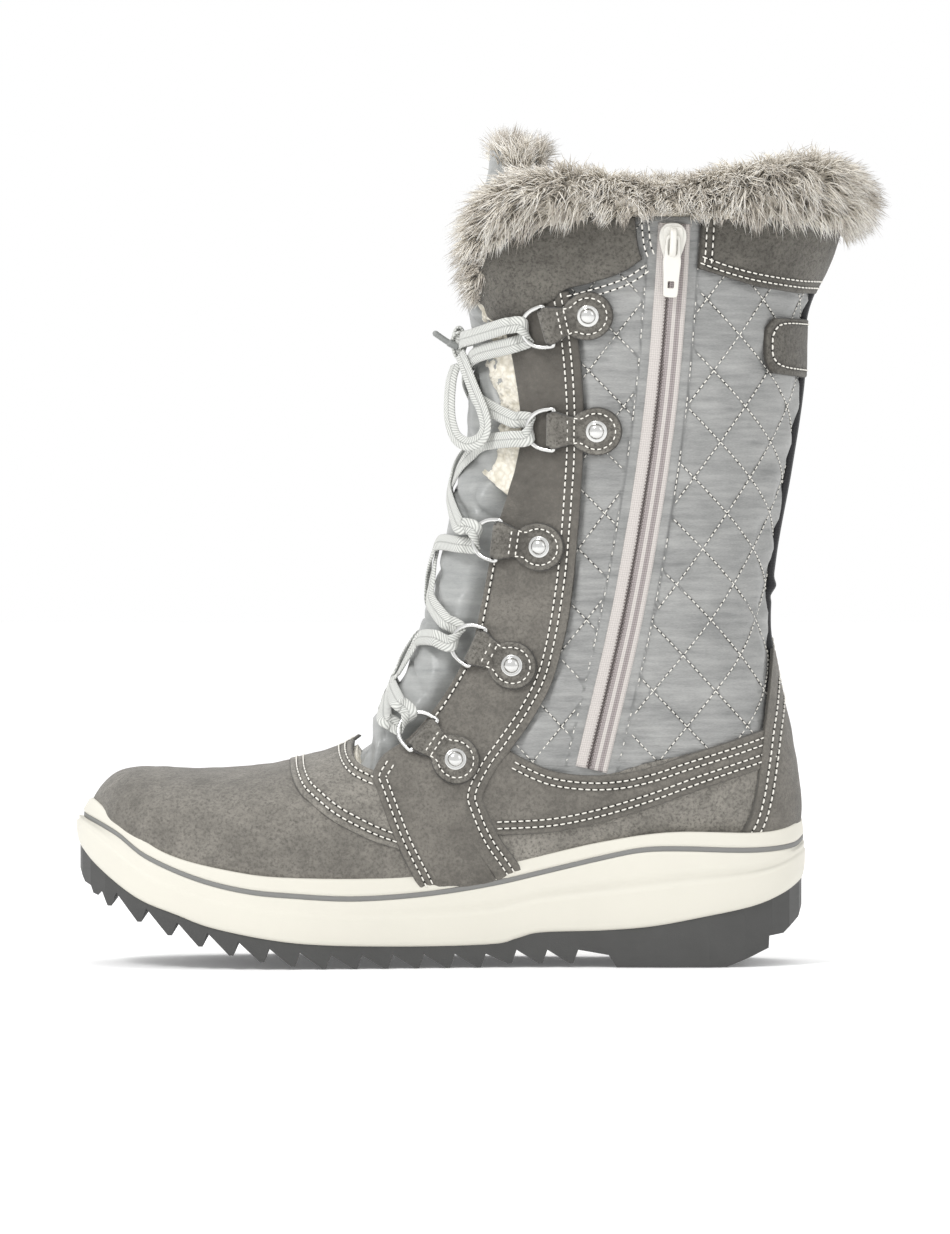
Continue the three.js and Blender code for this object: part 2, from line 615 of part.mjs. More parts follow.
/** Point at a, b, c along forward, across and out of a seat. */
const inSeat = ({ origin, out, forward, across }, a, b, c) =>
  origin.clone().addScaledVector(forward, a).addScaledVector(across, b).addScaledVector(out, c);

/** Box in a seat, wider at its far end by flare. */
function block(place, [a0, a1], [b0, b1], [c0, c1], flare = 0) {
  const ring = (a, f) => [[b0 - f, c0], [b1 + f, c0], [b1 + f, c1], [b0 - f, c1]]
    .map(([b, c]) => inSeat(place, a, b, c));
  return loft([ring(a0, 0), ring(a1, flare)]);
}

// The slider sits at the top of the closed zip; the pull hangs from its bridge.
const slider = seat(7.3, 277, 1, 2 * GAP + ZIP.tape + 0.4, 8.4, 255);
const PULL_AXIS = { a: -1, c: 3.5 };
const sliderBody = block(slider, [-6.2, 7], [-4.3, 4.3], [0, 2.3])
  .add(block(slider, [-4.4, 6.3], [-1.3, 1.3], [2, 5.8]))
  .subtract(block(slider, [-3, 5], [-2, 2], [2.3, 4.7]));
add('zip_slider', sliderBody, ENAMEL);
const pull = block(slider, [PULL_AXIS.a - 0.75, 7.3], [-3, 3], [2.75, 4.25])
  .add(block(slider, [7.2, 21.5], [-2.8, 2.8], [2.75, 4.25], 0.7))
  .subtract(block(slider, [PULL_AXIS.a + 0.75, 7.2], [-1.8, 1.8], [2, 5]))
  .subtract(block(slider, [16.8, 18.8], [-1, 1], [2, 5]));
add('zip_pull', pull, ENAMEL);

// -------------------------------------------------------- lace tabs, rings, rivets
const RING_HEIGHT = 2 * GAP + PANEL + 2.6;
const TAB_LAYER = layer(2 * GAP + PANEL, TAB);
const rings = { medial: [], lateral: [] };

/** Side view of a tab: a round head at the rivet and a strap to the ring. */
function tabOutline({ rivetX, rivetZ, barX, barZ }) {
  const run = Math.hypot(barX - rivetX, barZ - rivetZ);
  const [fx, fz] = [(barX - rivetX) / run, (barZ - rivetZ) / run];
  const local = (a, b) => [rivetX + a * fx - b * fz, rivetZ + a * fz + b * fx];
  const open = Math.asin(TAB_HALF / TAB_HEAD);
  const head = Array.from({ length: 8 }, (_, i) => {
    const turn = open + ((2 * Math.PI - 2 * open) * i) / 7;
    return local(TAB_HEAD * Math.cos(turn), TAB_HEAD * Math.sin(turn));
  });
  return [...head, local(run + 1, -TAB_HALF), local(run + 1, TAB_HALF)];
}

STATIONS.forEach((station, i) => {
  const { rivetX, rivetZ, barX, barZ } = station;
  for (const [name, side] of SIDES) {
    const label = `${name}_${i + 1}`;
    const bar = seat(barX, barZ, side, RING_HEIGHT, 2 * barX - rivetX, 2 * barZ - rivetZ);
    const barLine = (reach) => [inSeat(bar, 0, -reach, 0), inSeat(bar, 0, reach, 0)];
    const tab = TAB_LAYER.intersect(half(tabOutline(station), side))
      .add(tube(barLine(TAB_HALF), 2.4, 6, bar.out))
      .subtract(tube(barLine(12), RING.wire + GAP + 0.15, 6, bar.out));
    add(`tab_${label}`, tab, SUEDE);

    const bow = Array.from({ length: 7 }, (_, k) => {
      const turn = (Math.PI * k) / 6;
      return inSeat(bar, RING.depth * Math.sin(turn) ** 0.8, RING.half * Math.cos(turn), 0);
    });
    add(`ring_${label}`, tube(bow, RING.wire, 6, bar.out, true), METAL);
    rings[name].push({ ...bar, side });

    const head = seat(rivetX, rivetZ, side, 3 * GAP + PANEL + TAB + 0.15, barX, barZ);
    const dome = [[RIVET, 0], [RIVET * 0.94, 0.8], [RIVET * 0.6, 1.7]].map(([r, c]) =>
      Array.from({ length: 8 }, (_, k) => inSeat(head, r * Math.cos((Math.PI * k) / 4), r * Math.sin((Math.PI * k) / 4), c)));
    add(`rivet_${label}`, loft(dome), METAL);
  }
});

// ------------------------------------------------------------------------- laces
const LACE_LIFT = 4.1;

/** Section and angle on the last nearest to a point in front of a ring. */
function laceStart(ring, raise) {
  const tip = inSeat(ring, RING.depth + RING.wire + 1.3, -ring.side * raise, 0);
  const spot = locate(tip.x, tip.z, ring.side);
  return { ...spot, point: tip };
}

/** Flat lace from one ring over the tongue to another; crest shifts the middle up the boot. */
function strand(from, to, crest) {
  const steps = 7;
  const path = [];
  const normals = [];
  for (let i = 0; i <= steps; i += 1) {
    const t = i / steps;
    const hump = Math.sin(Math.PI * t);
    const s = lerp(from.s, to.s, t) + crest * hump;
    const phi = lerp(from.phi, to.phi, t);
    const rest = last(s, phi, LACE_LIFT);
    const blend = smooth(Math.min(t, 1 - t) * 4);
    const end = t < 0.5 ? from : to;
    const offset = end.point.clone().sub(last(end.s, end.phi, LACE_LIFT));
    path.push(rest.addScaledVector(offset, 1 - blend));
    normals.push(normal(s, phi));
  }
  return ribbon(path, normals);
}

const RAISE = 3.7;
const CREST = [-0.5, 0, 0, 0];
CREST.forEach((crest, i) => {
  const start = (name) => laceStart(rings[name][i], -RAISE);
  const landing = (name) => laceStart(rings[name][i + 1], RAISE);
  const over = strand(start('medial'), landing('lateral'), crest);
  const under = strand(start('lateral'), landing('medial'), crest);
  add(`lace_cross_${i + 1}`, over.add(under), CORD);
});
add('lace_bar', strand(laceStart(rings.medial[4], -RAISE), laceStart(rings.lateral[4], -RAISE), 0.25), CORD);
add('lace_top', strand(laceStart(rings.medial[0], RAISE), laceStart(rings.lateral[0], RAISE), -0.9), CORD);

// The bow: a knot on the tongue, a loop hanging on each side and two tagged ends.
const KNOT = { x: 88.3, z: 238.3, depth: 2, half: 4.6, tall: 6.2 };
const knotRings = [-1, -0.6, 0, 0.6, 1].map((t) => {
  const r = Math.sqrt(1 - 0.9 * t * t);
  return Array.from({ length: 8 }, (_, k) => {
    const turn = (Math.PI * k) / 4;
    return V(KNOT.x + KNOT.depth * r * Math.cos(turn), KNOT.half * r * Math.sin(turn), KNOT.z + KNOT.tall * t);
  });
});
add('lace_knot', loft(knotRings), CORD);

// Middle of the loop's lace, from beside the knot round to below it, on the inner side.
const LOOP = [
  [87.6, 7.8, 234], [85.8, 13.5, 229], [82.8, 20.5, 221], [79.3, 26.5, 212.5], [78, 28.5, 206],
  [80, 28, 201.3], [84.7, 25.5, 199.4], [89.2, 22, 202], [91.5, 18.5, 208.5], [91.8, 14.5, 216.5],
  [91, 10, 224.5], [89.3, 6, 229.8],
];
const LOOP_FACE = [0.62, 0.78, 0];
for (const [name, side] of SIDES) {
  const loop = LOOP.map(([x, y, z]) => V(x, side * y, z));
  const face = V(LOOP_FACE[0], side * LOOP_FACE[1], LOOP_FACE[2]);
  add(`lace_loop_${name}`, ribbon(loop, loop.map(() => face), 5.4), CORD);
  const tip = [V(91, side * 2.4, 237.5), V(93.5, side * 3, 239.3), V(98, side * 4.2, 242.4)];
  add(`lace_tip_${name}`, tube(tip, 1.3, 6, V(0, 0, 1)), CORD);
}

// ------------------------------------------------------------------- fur collar
// Middle of the fur roll in side view, from the front of the inner flap to the heel
// seam, with its half height; the zip parts the fur, so it is low there.
const ROLL = table(['x', 'z', 'half'], [
  [79.5, 257, 3], [82, 268, 8], [80, 281, 11], [68, 289, 13], [48, 293, 13.5], [26, 293, 12],
  [10, 291.5, 6], [-6, 292, 12], [-26, 293, 14], [-44, 292, 14.5],
]);
const ROLL_BACK = { z: 290, half: 15 };
const ROLL_THICK = 9;
const rollSide = (side) => ROLL.map(({ x, z, half: tall }) => ({ ...locate(x, z, side), tall: side > 0 || x > 30 || x < 0 ? tall : 13 }));
const back = { ...locate(-58, ROLL_BACK.z), phi: Math.PI, tall: ROLL_BACK.half };
const rollPath = [...rollSide(1), back, ...rollSide(-1).map((p) => ({ ...p, phi: p.phi + 2 * Math.PI })).reverse()];
const rollPoint = ({ s, phi }) => last(s, phi, -0.5);
const rollRings = rollPath.map((spot, i) => {
  const ahead = rollPoint(rollPath[Math.min(i + 1, rollPath.length - 1)]);
  const behind = rollPoint(rollPath[Math.max(i - 1, 0)]);
  const tangent = ahead.sub(behind).normalize();
  const out = normal(spot.s, spot.phi);
  const up = out.clone().cross(tangent).normalize();
  const thick = ROLL_THICK * Math.min(spot.tall / 11, 1);
  return Array.from({ length: 6 }, (_, k) => {
    const turn = (Math.PI * (k + 0.5)) / 3;
    return rollPoint(spot).addScaledVector(out, thick * Math.cos(turn)).addScaledVector(up, spot.tall * Math.sin(turn));
  });
});
const wallGap = lastSolid(2 * GAP + PANEL + 0.2).subtract(lastSolid(-WALL - GAP - 0.2))
  .subtract(sidePrism(grow(throatOutline, -GAP))).subtract(sidePrism(grow(collarOutline, -GAP)));
add('fur_collar', loft(rollRings).subtract(wallGap).subtract(tongueSolid(2 * GAP)), FUR);

export default boot;
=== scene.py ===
"""Looks of a women's snow boot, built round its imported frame.

Shapes are worked out in millimetres on the same last as the frame's solids, and turned
into metres when a mesh is made. +X is the toe, +Y the inner side, +Z up.
"""

import logging
import math
from dataclasses import dataclass, field
from enum import Enum
from typing import Callable, Sequence

import bmesh
import bpy
import numpy as np
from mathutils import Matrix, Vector


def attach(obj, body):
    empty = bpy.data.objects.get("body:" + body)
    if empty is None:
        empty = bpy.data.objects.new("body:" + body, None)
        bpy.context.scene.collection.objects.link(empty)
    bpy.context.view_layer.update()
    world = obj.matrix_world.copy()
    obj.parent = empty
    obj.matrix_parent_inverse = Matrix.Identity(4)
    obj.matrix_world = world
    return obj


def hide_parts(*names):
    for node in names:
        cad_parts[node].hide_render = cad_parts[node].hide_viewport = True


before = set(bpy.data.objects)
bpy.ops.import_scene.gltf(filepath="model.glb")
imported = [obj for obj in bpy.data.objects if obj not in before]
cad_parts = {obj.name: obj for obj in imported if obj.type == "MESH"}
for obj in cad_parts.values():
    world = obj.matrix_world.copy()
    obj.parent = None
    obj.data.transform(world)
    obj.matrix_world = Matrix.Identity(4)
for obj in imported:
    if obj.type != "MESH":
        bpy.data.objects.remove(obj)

Array = np.ndarray
Rows = Sequence[Sequence[float]]
Triple = tuple[float, float, float]
Stitches = list[tuple[Array, Array]]

logging.basicConfig(level=logging.INFO, format="%(message)s")
log = logging.getLogger("boot")

MM = 0.001
FLOOR_HEIGHT = -2e-4  # metres, a hair under the tread
WELD = 2e-6           # metres within which points are one
BODY = "boot"
PULL_BODY = "zip_pull"


class Side(Enum):
    """Inner or outer side of the boot, with its sign along Y."""

    MEDIAL = 1
    LATERAL = -1

    @property
    def word(self) -> str:
        """Its name in the frame's nodes."""
        return self.name.lower()


# ------------------------------------------------------------------------ tables
# topX, topZ, baseX, baseZ, inner, outer, middle, topPower, basePower of each section.
LAST_ROWS = np.array([
    [229.5, 52, 229.5, 52, 0, 0, 0.50, 2.2, 2.6],
    [226.4, 64.5, 226.8, 40, 16, 13, 0.50, 2.2, 2.6],
    [217, 72.6, 218, 33.5, 29.5, 26, 0.48, 2.3, 3.0],
    [200, 73.4, 202, 27, 40, 39.5, 0.46, 2.4, 3.4],
    [177, 73.2, 182, 21, 45, 47, 0.45, 2.4, 3.8],
    [155, 75.9, 160, 17.5, 46, 51, 0.44, 2.3, 4.0],
    [135, 80.7, 138, 17, 44, 50.5, 0.43, 2.2, 4.0],
    [121.5, 89.5, 112, 18, 40.5, 46.5, 0.42, 2.1, 4.0],
    [111, 104, 82, 22, 36.5, 41, 0.42, 2.0, 3.8],
    [104, 120, 50, 28.5, 34, 36.5, 0.42, 2.0, 3.4],
    [98, 138, 18, 32.4, 34, 35, 0.43, 2.0, 3.0],
    [93, 157, -12, 34.3, 34.8, 35.2, 0.45, 2.1, 2.8],
    [89, 173, -35, 39, 36.0, 36.2, 0.46, 2.2, 2.6],
    [86.3, 185, -41, 58, 37.2, 37.2, 0.47, 2.2, 2.5],
    [84.2, 195, -37.8, 85, 38.2, 38.2, 0.47, 2.1, 2.4],
    [82.9, 206, -32.6, 109, 39.4, 39.4, 0.47, 2.0, 2.3],
    [81.8, 218, -29.2, 131, 40.6, 40.6, 0.47, 2.0, 2.3],
    [80.8, 232, -31.6, 158, 41.8, 41.8, 0.47, 2.0, 2.2],
    [82, 249, -37.3, 190, 43.4, 43.4, 0.47, 2.2, 2.2],
    [85.2, 266, -42, 222, 45.2, 45.2, 0.47, 2.5, 2.2],
    [86.6, 284, -43.5, 250, 47.2, 47.2, 0.47, 2.6, 2.2],
    [86, 303, -53.5, 274, 49.0, 49.0, 0.47, 2.6, 2.2],
    [83, 322, -60, 296, 50.0, 50.0, 0.47, 2.6, 2.2],
])
# x, inner and outer edge of the sole, seen from above.
PLAN = np.array([
    [-45, 0, 0], [-41.5, 17, -17], [-31, 28.5, -28.5], [-12, 35.5, -35.5], [14, 36.5, -37],
    [44, 34.5, -37.5], [74, 35.5, -42], [104, 41, -49], [134, 47, -54.5], [162, 50, -54.5],
    [187, 47.5, -49.5], [208, 41, -40], [223, 30.5, -26], [232, 18.5, -10], [235, 4.5, 4.5],
])
# Heights along the sole: where the upper enters the midsole, and where rubber begins.
BITE = np.array([
    [-46, 55], [-42.4, 54.3], [-35.4, 51.6], [-23.9, 50.4], [6.9, 50.8], [33.9, 47],
    [72.4, 38.5], [110.9, 33.9], [149.4, 33.9], [172.5, 36.2], [199.4, 43.1], [218.7, 56.2],
    [228, 62.4], [236, 63.6],
])
PARTING = np.array([
    [-50, 41], [-46, 36.5], [-43.1, 32.7], [-35.4, 27.7], [-23.9, 23.3], [-4.6, 19.3],
    [14.6, 15.8], [33.9, 14.2], [57, 13.4], [66, 11.2], [76, 9], [110.9, 8.5], [149.4, 10],
    [180, 15.4], [195.6, 20.8], [211, 27], [226.4, 38.5], [236, 49], [240, 53],
])
PINSTRIPE = np.array([
    [-44.3, 48.5], [-39.3, 45.8], [-23.9, 44.5], [3.1, 45.2], [18.5, 44.7], [33.9, 41.6],
    [53.1, 37], [72.4, 32.5], [91.6, 29.3], [110.9, 27.3], [130.1, 26.6], [149.4, 27.7],
    [168.6, 29.6], [187.9, 34.3], [207.1, 42.4], [218.7, 50.8], [230.2, 56.5], [236, 58],
])

# Seams and edges of the upper, in side view as x, z.
THROAT = [
    [124, 87.5], [127.4, 82.4], [127.4, 78.5], [124.4, 75.8], [118.6, 74.7], [116.7, 78.9],
    [106.3, 86.2], [95.5, 98.9], [86.6, 113.2], [82, 122], [78.5, 137.4], [73.5, 162.5],
    [67.8, 181.7], [65, 191.3], [63.1, 204.8], [65.5, 228], [69.3, 244], [75.5, 251.8],
    [78.2, 258.7], [80.2, 268.3], [79.5, 275],
]
SADDLE_SEAM = [
    [153.2, 78.5], [152.1, 72], [149.4, 66.2], [145.5, 62.4], [137.8, 56.6], [130.1, 52.4],
    [120.5, 48.1], [110, 44.5], [98, 36],
]
STAY_FRONT = [[98, 22], [103.2, 30], [112, 47], [119.4, 66.2], [120.9, 72], [116.7, 78.9]]
STAY_REAR = [
    [57, 26], [65.8, 40], [73.5, 50.8], [78.5, 62.4], [78.9, 66.2], [73.5, 75.8],
    [68.5, 82.4], [58.9, 96.3], [51.2, 112.4], [45.4, 139.4], [42, 170.2], [40.4, 197.1],
    [40.4, 216.4], [42.4, 239.5], [46, 258],
]
BAND_TOP = [
    [76, 88], [68.5, 82.4], [57, 76.6], [49.3, 74.3], [37.7, 73.2], [26.2, 73.9], [14.6, 76.6],
    [3.1, 80.5], [-16.2, 86.6], [-34, 92.5],
]
BAND_LOW = [
    [82, 50], [75.5, 50.2], [53.1, 51.6], [33.9, 55.4], [14.6, 61.2], [-4.6, 68.2],
    [-27.7, 75.9], [-34, 78],
]
COUNTER_FRONT = [
    [-16, 46], [-18.1, 50.1], [-21.9, 56.6], [-24.3, 66.2], [-25.8, 77.8], [-27, 89.3],
    [-28.5, 100.9], [-29.6, 114.3], [-30, 120.6],
]
COLLAR_LOW_FRONT = [
    [81, 254.5], [76.2, 252.9], [73.2, 247.2], [62.8, 247.9], [52, 253.7], [47.4, 258],
    [37.7, 260.6], [26.2, 264.5], [18.5, 269.5],
]
COLLAR_LOW_REAR = [[-1.8, 266.2], [-23.9, 259.5], [-39.3, 257.6], [-60, 259]]
ZIP_LINE = [[6.5, 283], [8.1, 255], [11.5, 215], [17, 175], [25, 130], [37.7, 75.5]]
COLLAR_TOP = 285.5
HEEL_SECTION = 8.5  # sections above it reach the back of the heel and the shaft
ZIP_SEWN = 9.8      # from the zip's middle to the stitches beside it

# Lace stations from the top: rivet, then the ring's bar.
STATIONS = [
    [38.5, 248.3, 52.7, 244.9], [35, 204.4, 50.6, 204.8], [56.2, 160.2, 71, 162.3],
    [67, 114.7, 79.6, 121], [89.3, 78.5, 100.6, 86.6],
]


# ------------------------------------------------------------------------ small maths
def smooth(t: Array) -> Array:
    """Smooth step from 0 to 1."""
    t = np.clip(t, 0, 1)
    return t * t * (3 - 2 * t)


def unit(vectors: Array) -> Array:
    """Vectors scaled to a length of one."""
    size = np.linalg.norm(vectors, axis=-1, keepdims=True)
    return vectors / np.maximum(size, 1e-12)


def between(a: Array, b: Array, c: Array, d: Array, t: Array) -> Array:
    """Catmull-Rom: the cubic from b to c at share t, with a before it and d after it."""
    return 0.5 * (2 * b + (c - a) * t + (2 * a - 5 * b + 4 * c - d) * t**2
                  + (3 * b - a - 3 * c + d) * t**3)


def read_off(values: Array, run: Array, at: Array) -> Array:
    """Rows of values at places along a run, by straight steps between its samples."""
    return np.stack([np.interp(at, run, values[:, k]) for k in range(values.shape[1])], -1)


def rail(points: Rows | Array, count: int, ease: float = 0.0, closed: bool = False) -> Array:
    """Catmull-Rom curve through points, resampled to even steps of its length.

    Args:
        points: corner points of any dimension.
        count: how many samples to return.
        ease: 0 for even steps, up to 1 to crowd them towards both ends.
        closed: whether the last point joins the first.

    Returns:
        count points on the curve.
    """
    p = np.asarray(points, float)
    if closed:
        p = np.vstack([p[-1:], p, p[:2]])
    else:
        p = np.vstack([2 * p[0] - p[1], p, 2 * p[-1] - p[-2]])
    t = np.linspace(0, 1, 24, endpoint=False)[None, :, None]
    a, b, c, d = (p[k: len(p) - 3 + k][:, None] for k in range(4))
    fine = np.vstack([between(a, b, c, d, t).reshape(-1, p.shape[1]), p[-2:-1]])
    run = np.concatenate([[0], np.cumsum(np.linalg.norm(np.diff(fine, axis=0), axis=1))])
    u = np.linspace(0, 1, count, endpoint=not closed)
    u = (1 - ease) * u + ease * smooth(u)
    return read_off(fine, run, u * run[-1])


def lengths(points: Array, axis: int = 0) -> Array:
    """Running length along an axis of a grid or line of points, from zero."""
    step = np.linalg.norm(np.diff(points, axis=axis), axis=-1)
    pad = [(0, 0)] * step.ndim
    pad[axis] = (1, 0)
    return np.pad(np.cumsum(step, axis=axis), pad)


def aside(points: Rows | Array, distance: float) -> Array:
    """Side-view line moved to the left of its way by distance."""
    p = np.asarray(points, float)
    way = unit(np.gradient(p, axis=0))
    return p + distance * np.stack([-way[:, 1], way[:, 0]], -1)


def ripple(points: Array, size: float, seed: int, waves: int = 14) -> Array:
    """Smooth noise of unit spread: a sum of plane waves of about one length, at random angles."""
    rng = np.random.default_rng(seed)
    ways = unit(rng.normal(size=(waves, 3))) * rng.uniform(0.6, 1.5, (waves, 1)) * (2 * np.pi / size)
    return np.cos(points @ ways.T + rng.uniform(0, 2 * np.pi, waves)).sum(-1) * math.sqrt(2 / waves)


def at_rail(rows: Array, x: Array) -> Array:
    """Height of a rail at x."""
    fine = rail(rows, 300)
    return np.interp(x, fine[:, 0], fine[:, 1])


def level(z: Array | float) -> Callable[[Array], Array]:
    """A height that is the same at every x."""
    return lambda x: z + 0 * x


def side_distance(x: Array, z: Array, line: Rows | Array) -> Array:
    """Distance in side view from points to a line drawn through samples."""
    p = np.asarray(line, float)
    a, step = p[:-1], np.diff(p, axis=0)
    q = np.stack([x, z], -1)[..., None, :]
    t = np.clip(((q - a) * step).sum(-1) / (step**2).sum(-1), 0, 1)
    return np.linalg.norm(q - a - t[..., None] * step, axis=-1).min(-1)


# ------------------------------------------------------------------------ the last
class Last:
    """The boot's last: a fan of rounded sections from the toe, over the instep, up the shaft."""

    def __init__(self, rows: Array) -> None:
        """Adds a ghost row at each end, so that the toe closes smoothly."""
        toe, before, end = rows[1], rows[-2], rows[-1]
        ghost = [toe[2], toe[3], toe[0], toe[1], -toe[5], -toe[4], toe[6], toe[7], toe[8]]
        self.rows = np.vstack([ghost, rows, 2 * end - before])
        self.end = float(len(rows) - 1)

    def section(self, s: Array) -> Array:
        """Row of the table at fractional section s, by Catmull-Rom."""
        s = np.asarray(s, float)
        i = np.clip(np.floor(s).astype(int), 0, int(self.end) - 1)
        t = (s - i)[..., None]
        return between(*(self.rows[i + k] for k in range(4)), t)

    def skin(self, s: Array, phi: Array) -> Array:
        """Point at section s and angle phi: 0 is the ridge, +90 degrees the inner side.

        Each section is a superellipse, r = (|cos|^n + |sin|^n)^(-1/n), about a middle on its
        chord, with its own power and reach to the front and to the back.
        """
        s, phi = np.broadcast_arrays(np.asarray(s, float), np.asarray(phi, float))
        cut = self.section(s)
        c, w = np.cos(phi), np.sin(phi)
        power = np.where(c > 0, cut[..., 7], cut[..., 8])
        reach = np.where(c > 0, 1 - cut[..., 6], cut[..., 6])
        width = np.where(w > 0, cut[..., 4], cut[..., 5])
        r = (np.abs(c) ** power + np.abs(w) ** power) ** (-1 / power)
        along = cut[..., 6] + reach * r * c
        x = cut[..., 2] + (cut[..., 0] - cut[..., 2]) * along
        z = cut[..., 3] + (cut[..., 1] - cut[..., 3]) * along
        return np.stack([x, width * r * w, z], -1)

    def normal(self, s: Array, phi: Array) -> Array:
        """Outward normal, from differences along and round the last."""
        h = 1e-3
        along = self.skin(np.minimum(s + h, self.end), phi) - self.skin(np.maximum(s - h, 0), phi)
        round_it = self.skin(s, phi + h) - self.skin(s, phi - h)
        return -unit(np.cross(along, round_it))

    def at(self, s: Array, phi: Array, offset: Array | float = 0.0) -> Array:
        """Point moved out of the last by offset."""
        lift = np.asarray(offset, float)[..., None]
        return self.skin(s, phi) + self.normal(s, phi) * lift

    def locate(self, points: Rows | Array) -> Array:
        """Section and angle, on the inner side, of points seen in side view."""
        p = np.asarray(points, float)
        x, z = p[..., 0], p[..., 1]
        low, high = np.full(x.shape, 1.0), np.full(x.shape, self.end)
        for _ in range(36):
            mid = (low + high) / 2
            cut = self.section(mid)
            past = ((cut[..., 0] - cut[..., 2]) * (z - cut[..., 3])
                    - (cut[..., 1] - cut[..., 3]) * (x - cut[..., 2])) > 0
            low, high = np.where(past, mid, low), np.where(past, high, mid)
        cut = self.section(low)
        cx, cz = cut[..., 0] - cut[..., 2], cut[..., 1] - cut[..., 3]
        along = ((x - cut[..., 2]) * cx + (z - cut[..., 3]) * cz) / (cx**2 + cz**2) - cut[..., 6]
        power = np.where(along > 0, cut[..., 7], cut[..., 8])
        c = np.abs(along) / np.where(along > 0, 1 - cut[..., 6], cut[..., 6])
        c = np.minimum(c, 0.9999)
        w = (1 - c**power) ** (1 / power)
        return np.stack([low, np.arctan2(w, c * np.sign(along))], -1)

    def rise(self, phi: Array, height: Callable[[Array], Array], low: float, high: float) -> Array:
        """Section at which the line of angle phi climbs to a height that may depend on x."""
        phi = np.asarray(phi, float)
        a, b = np.full(phi.shape, low), np.full(phi.shape, high)
        for _ in range(36):
            mid = (a + b) / 2
            p = self.skin(mid, phi)
            under = p[..., 2] < height(p[..., 0])
            a, b = np.where(under, mid, a), np.where(under, b, mid)
        return a

    def fall(self, s: Array, height: Callable[[Array], Array]) -> Array:
        """Angle at which section s, going down from the ridge, meets a height."""
        s = np.asarray(s, float)
        a, b = np.zeros(s.shape), np.full(s.shape, math.pi)
        for _ in range(36):
            mid = (a + b) / 2
            p = self.skin(s, mid)
            over = p[..., 2] > height(p[..., 0])
            a, b = np.where(over, mid, a), np.where(over, b, mid)
        return a


LAST = Last(LAST_ROWS)


def on_side(points: Rows | Array, side: Side, offset: Array | float) -> tuple[Array, Array]:
    """Points and normals on one side of the last, under side-view points."""
    spot = LAST.locate(points)
    phi = spot[..., 1] * side.value
    return LAST.at(spot[..., 0], phi, offset), LAST.normal(spot[..., 0], phi)


# ------------------------------------------------------------------------ meshes
@dataclass
class Shape:
    """Points, faces and point marks of one mesh, in millimetres."""

    points: Array
    faces: list[Array]
    marks: dict[str, Array] = field(default_factory=dict)

    def turned_out(self) -> "Shape":
        """The closed shape with its faces outwards, by the sign of its volume."""
        volume = 0.0
        for block in self.faces:
            p = self.points[block]
            for k in range(1, block.shape[1] - 1):
                volume += float((p[:, 0] * np.cross(p[:, k], p[:, k + 1])).sum())
        if volume < 0:
            self.faces = [block[:, ::-1] for block in self.faces]
        return self

    @staticmethod
    def joined(shapes: Sequence["Shape"]) -> "Shape":
        """Several shapes as one, with the marks that all of them have."""
        starts = np.cumsum([0] + [len(s.points) for s in shapes])
        faces = [block + start for s, start in zip(shapes, starts) for block in s.faces]
        names = set(shapes[0].marks).intersection(*(s.marks for s in shapes))
        marks = {name: np.concatenate([s.marks[name] for s in shapes]) for name in names}
        return Shape(np.vstack([s.points for s in shapes]), faces, marks)

    def piece(self, name: str, material: bpy.types.Material, slot: str, body: str = BODY,
              replaces: Sequence[str] = (), flat: bool = False, weld: bool = False) -> bpy.types.Object:
        """The shape as a finished piece that rides on a body.

        Args:
            name: the piece's name.
            material: its finish.
            slot: not used.
            body: the body that carries it.
            replaces: frame nodes that it stands for.
            flat: whether its faces are flat shaded.
            weld: whether points in one place are merged.

        Returns:
            The new object.
        """
        mesh = bpy.data.meshes.new(name)
        faces = [face for block in self.faces for face in block.tolist()]
        mesh.from_pydata((self.points * MM).tolist(), [], faces)
        for key, values in self.marks.items():
            layer = mesh.attributes.new(key, "FLOAT", "POINT")
            layer.data.foreach_set("value", np.ascontiguousarray(values, np.float32))
        if weld:
            work = bmesh.new()
            work.from_mesh(mesh)
            bmesh.ops.remove_doubles(work, verts=work.verts, dist=WELD)
            work.to_mesh(mesh)
            work.free()
        mesh.polygons.foreach_set("use_smooth", [not flat] * len(mesh.polygons))
        mesh.validate()
        mesh.materials.append(material)
        obj = bpy.data.objects.new(name, mesh)
        bpy.context.scene.collection.objects.link(obj)
        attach(obj, body)
        if replaces:
            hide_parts(*replaces)
        log.info("piece %s: %d points, %d faces", name, len(mesh.vertices), len(mesh.polygons))
        return obj


def weave(rows: int, cols: int, start: int = 0, wrap: bool = False) -> Array:
    """Quads of a grid of points, row by row; wrap joins the last column to the first."""
    index = np.arange(rows * cols).reshape(rows, cols) + start
    if wrap:
        index = np.hstack([index, index[:, :1]])
    corners = [index[:-1, :-1], index[1:, :-1], index[1:, 1:], index[:-1, 1:]]
    return np.stack(corners, -1).reshape(-1, 4)


def closing(rows: int, cols: int) -> Array:
    """Quads from the last ring of a grid back to its first."""
    first = np.arange(cols)
    last = first + (rows - 1) * cols
    return np.stack([last, first, np.roll(first, -1), np.roll(last, -1)], -1)


def tube(rings: Array, marks: dict[str, Array] | None = None) -> Shape:
    """Closed shape of rings in order, with one face over each end."""
    rows, cols = rings.shape[:2]
    first = np.arange(cols)
    faces = [weave(rows, cols, 0, True), first[None], (first + (rows - 1) * cols)[None, ::-1]]
    return Shape(rings.reshape(-1, 3), faces, marks or {}).turned_out()


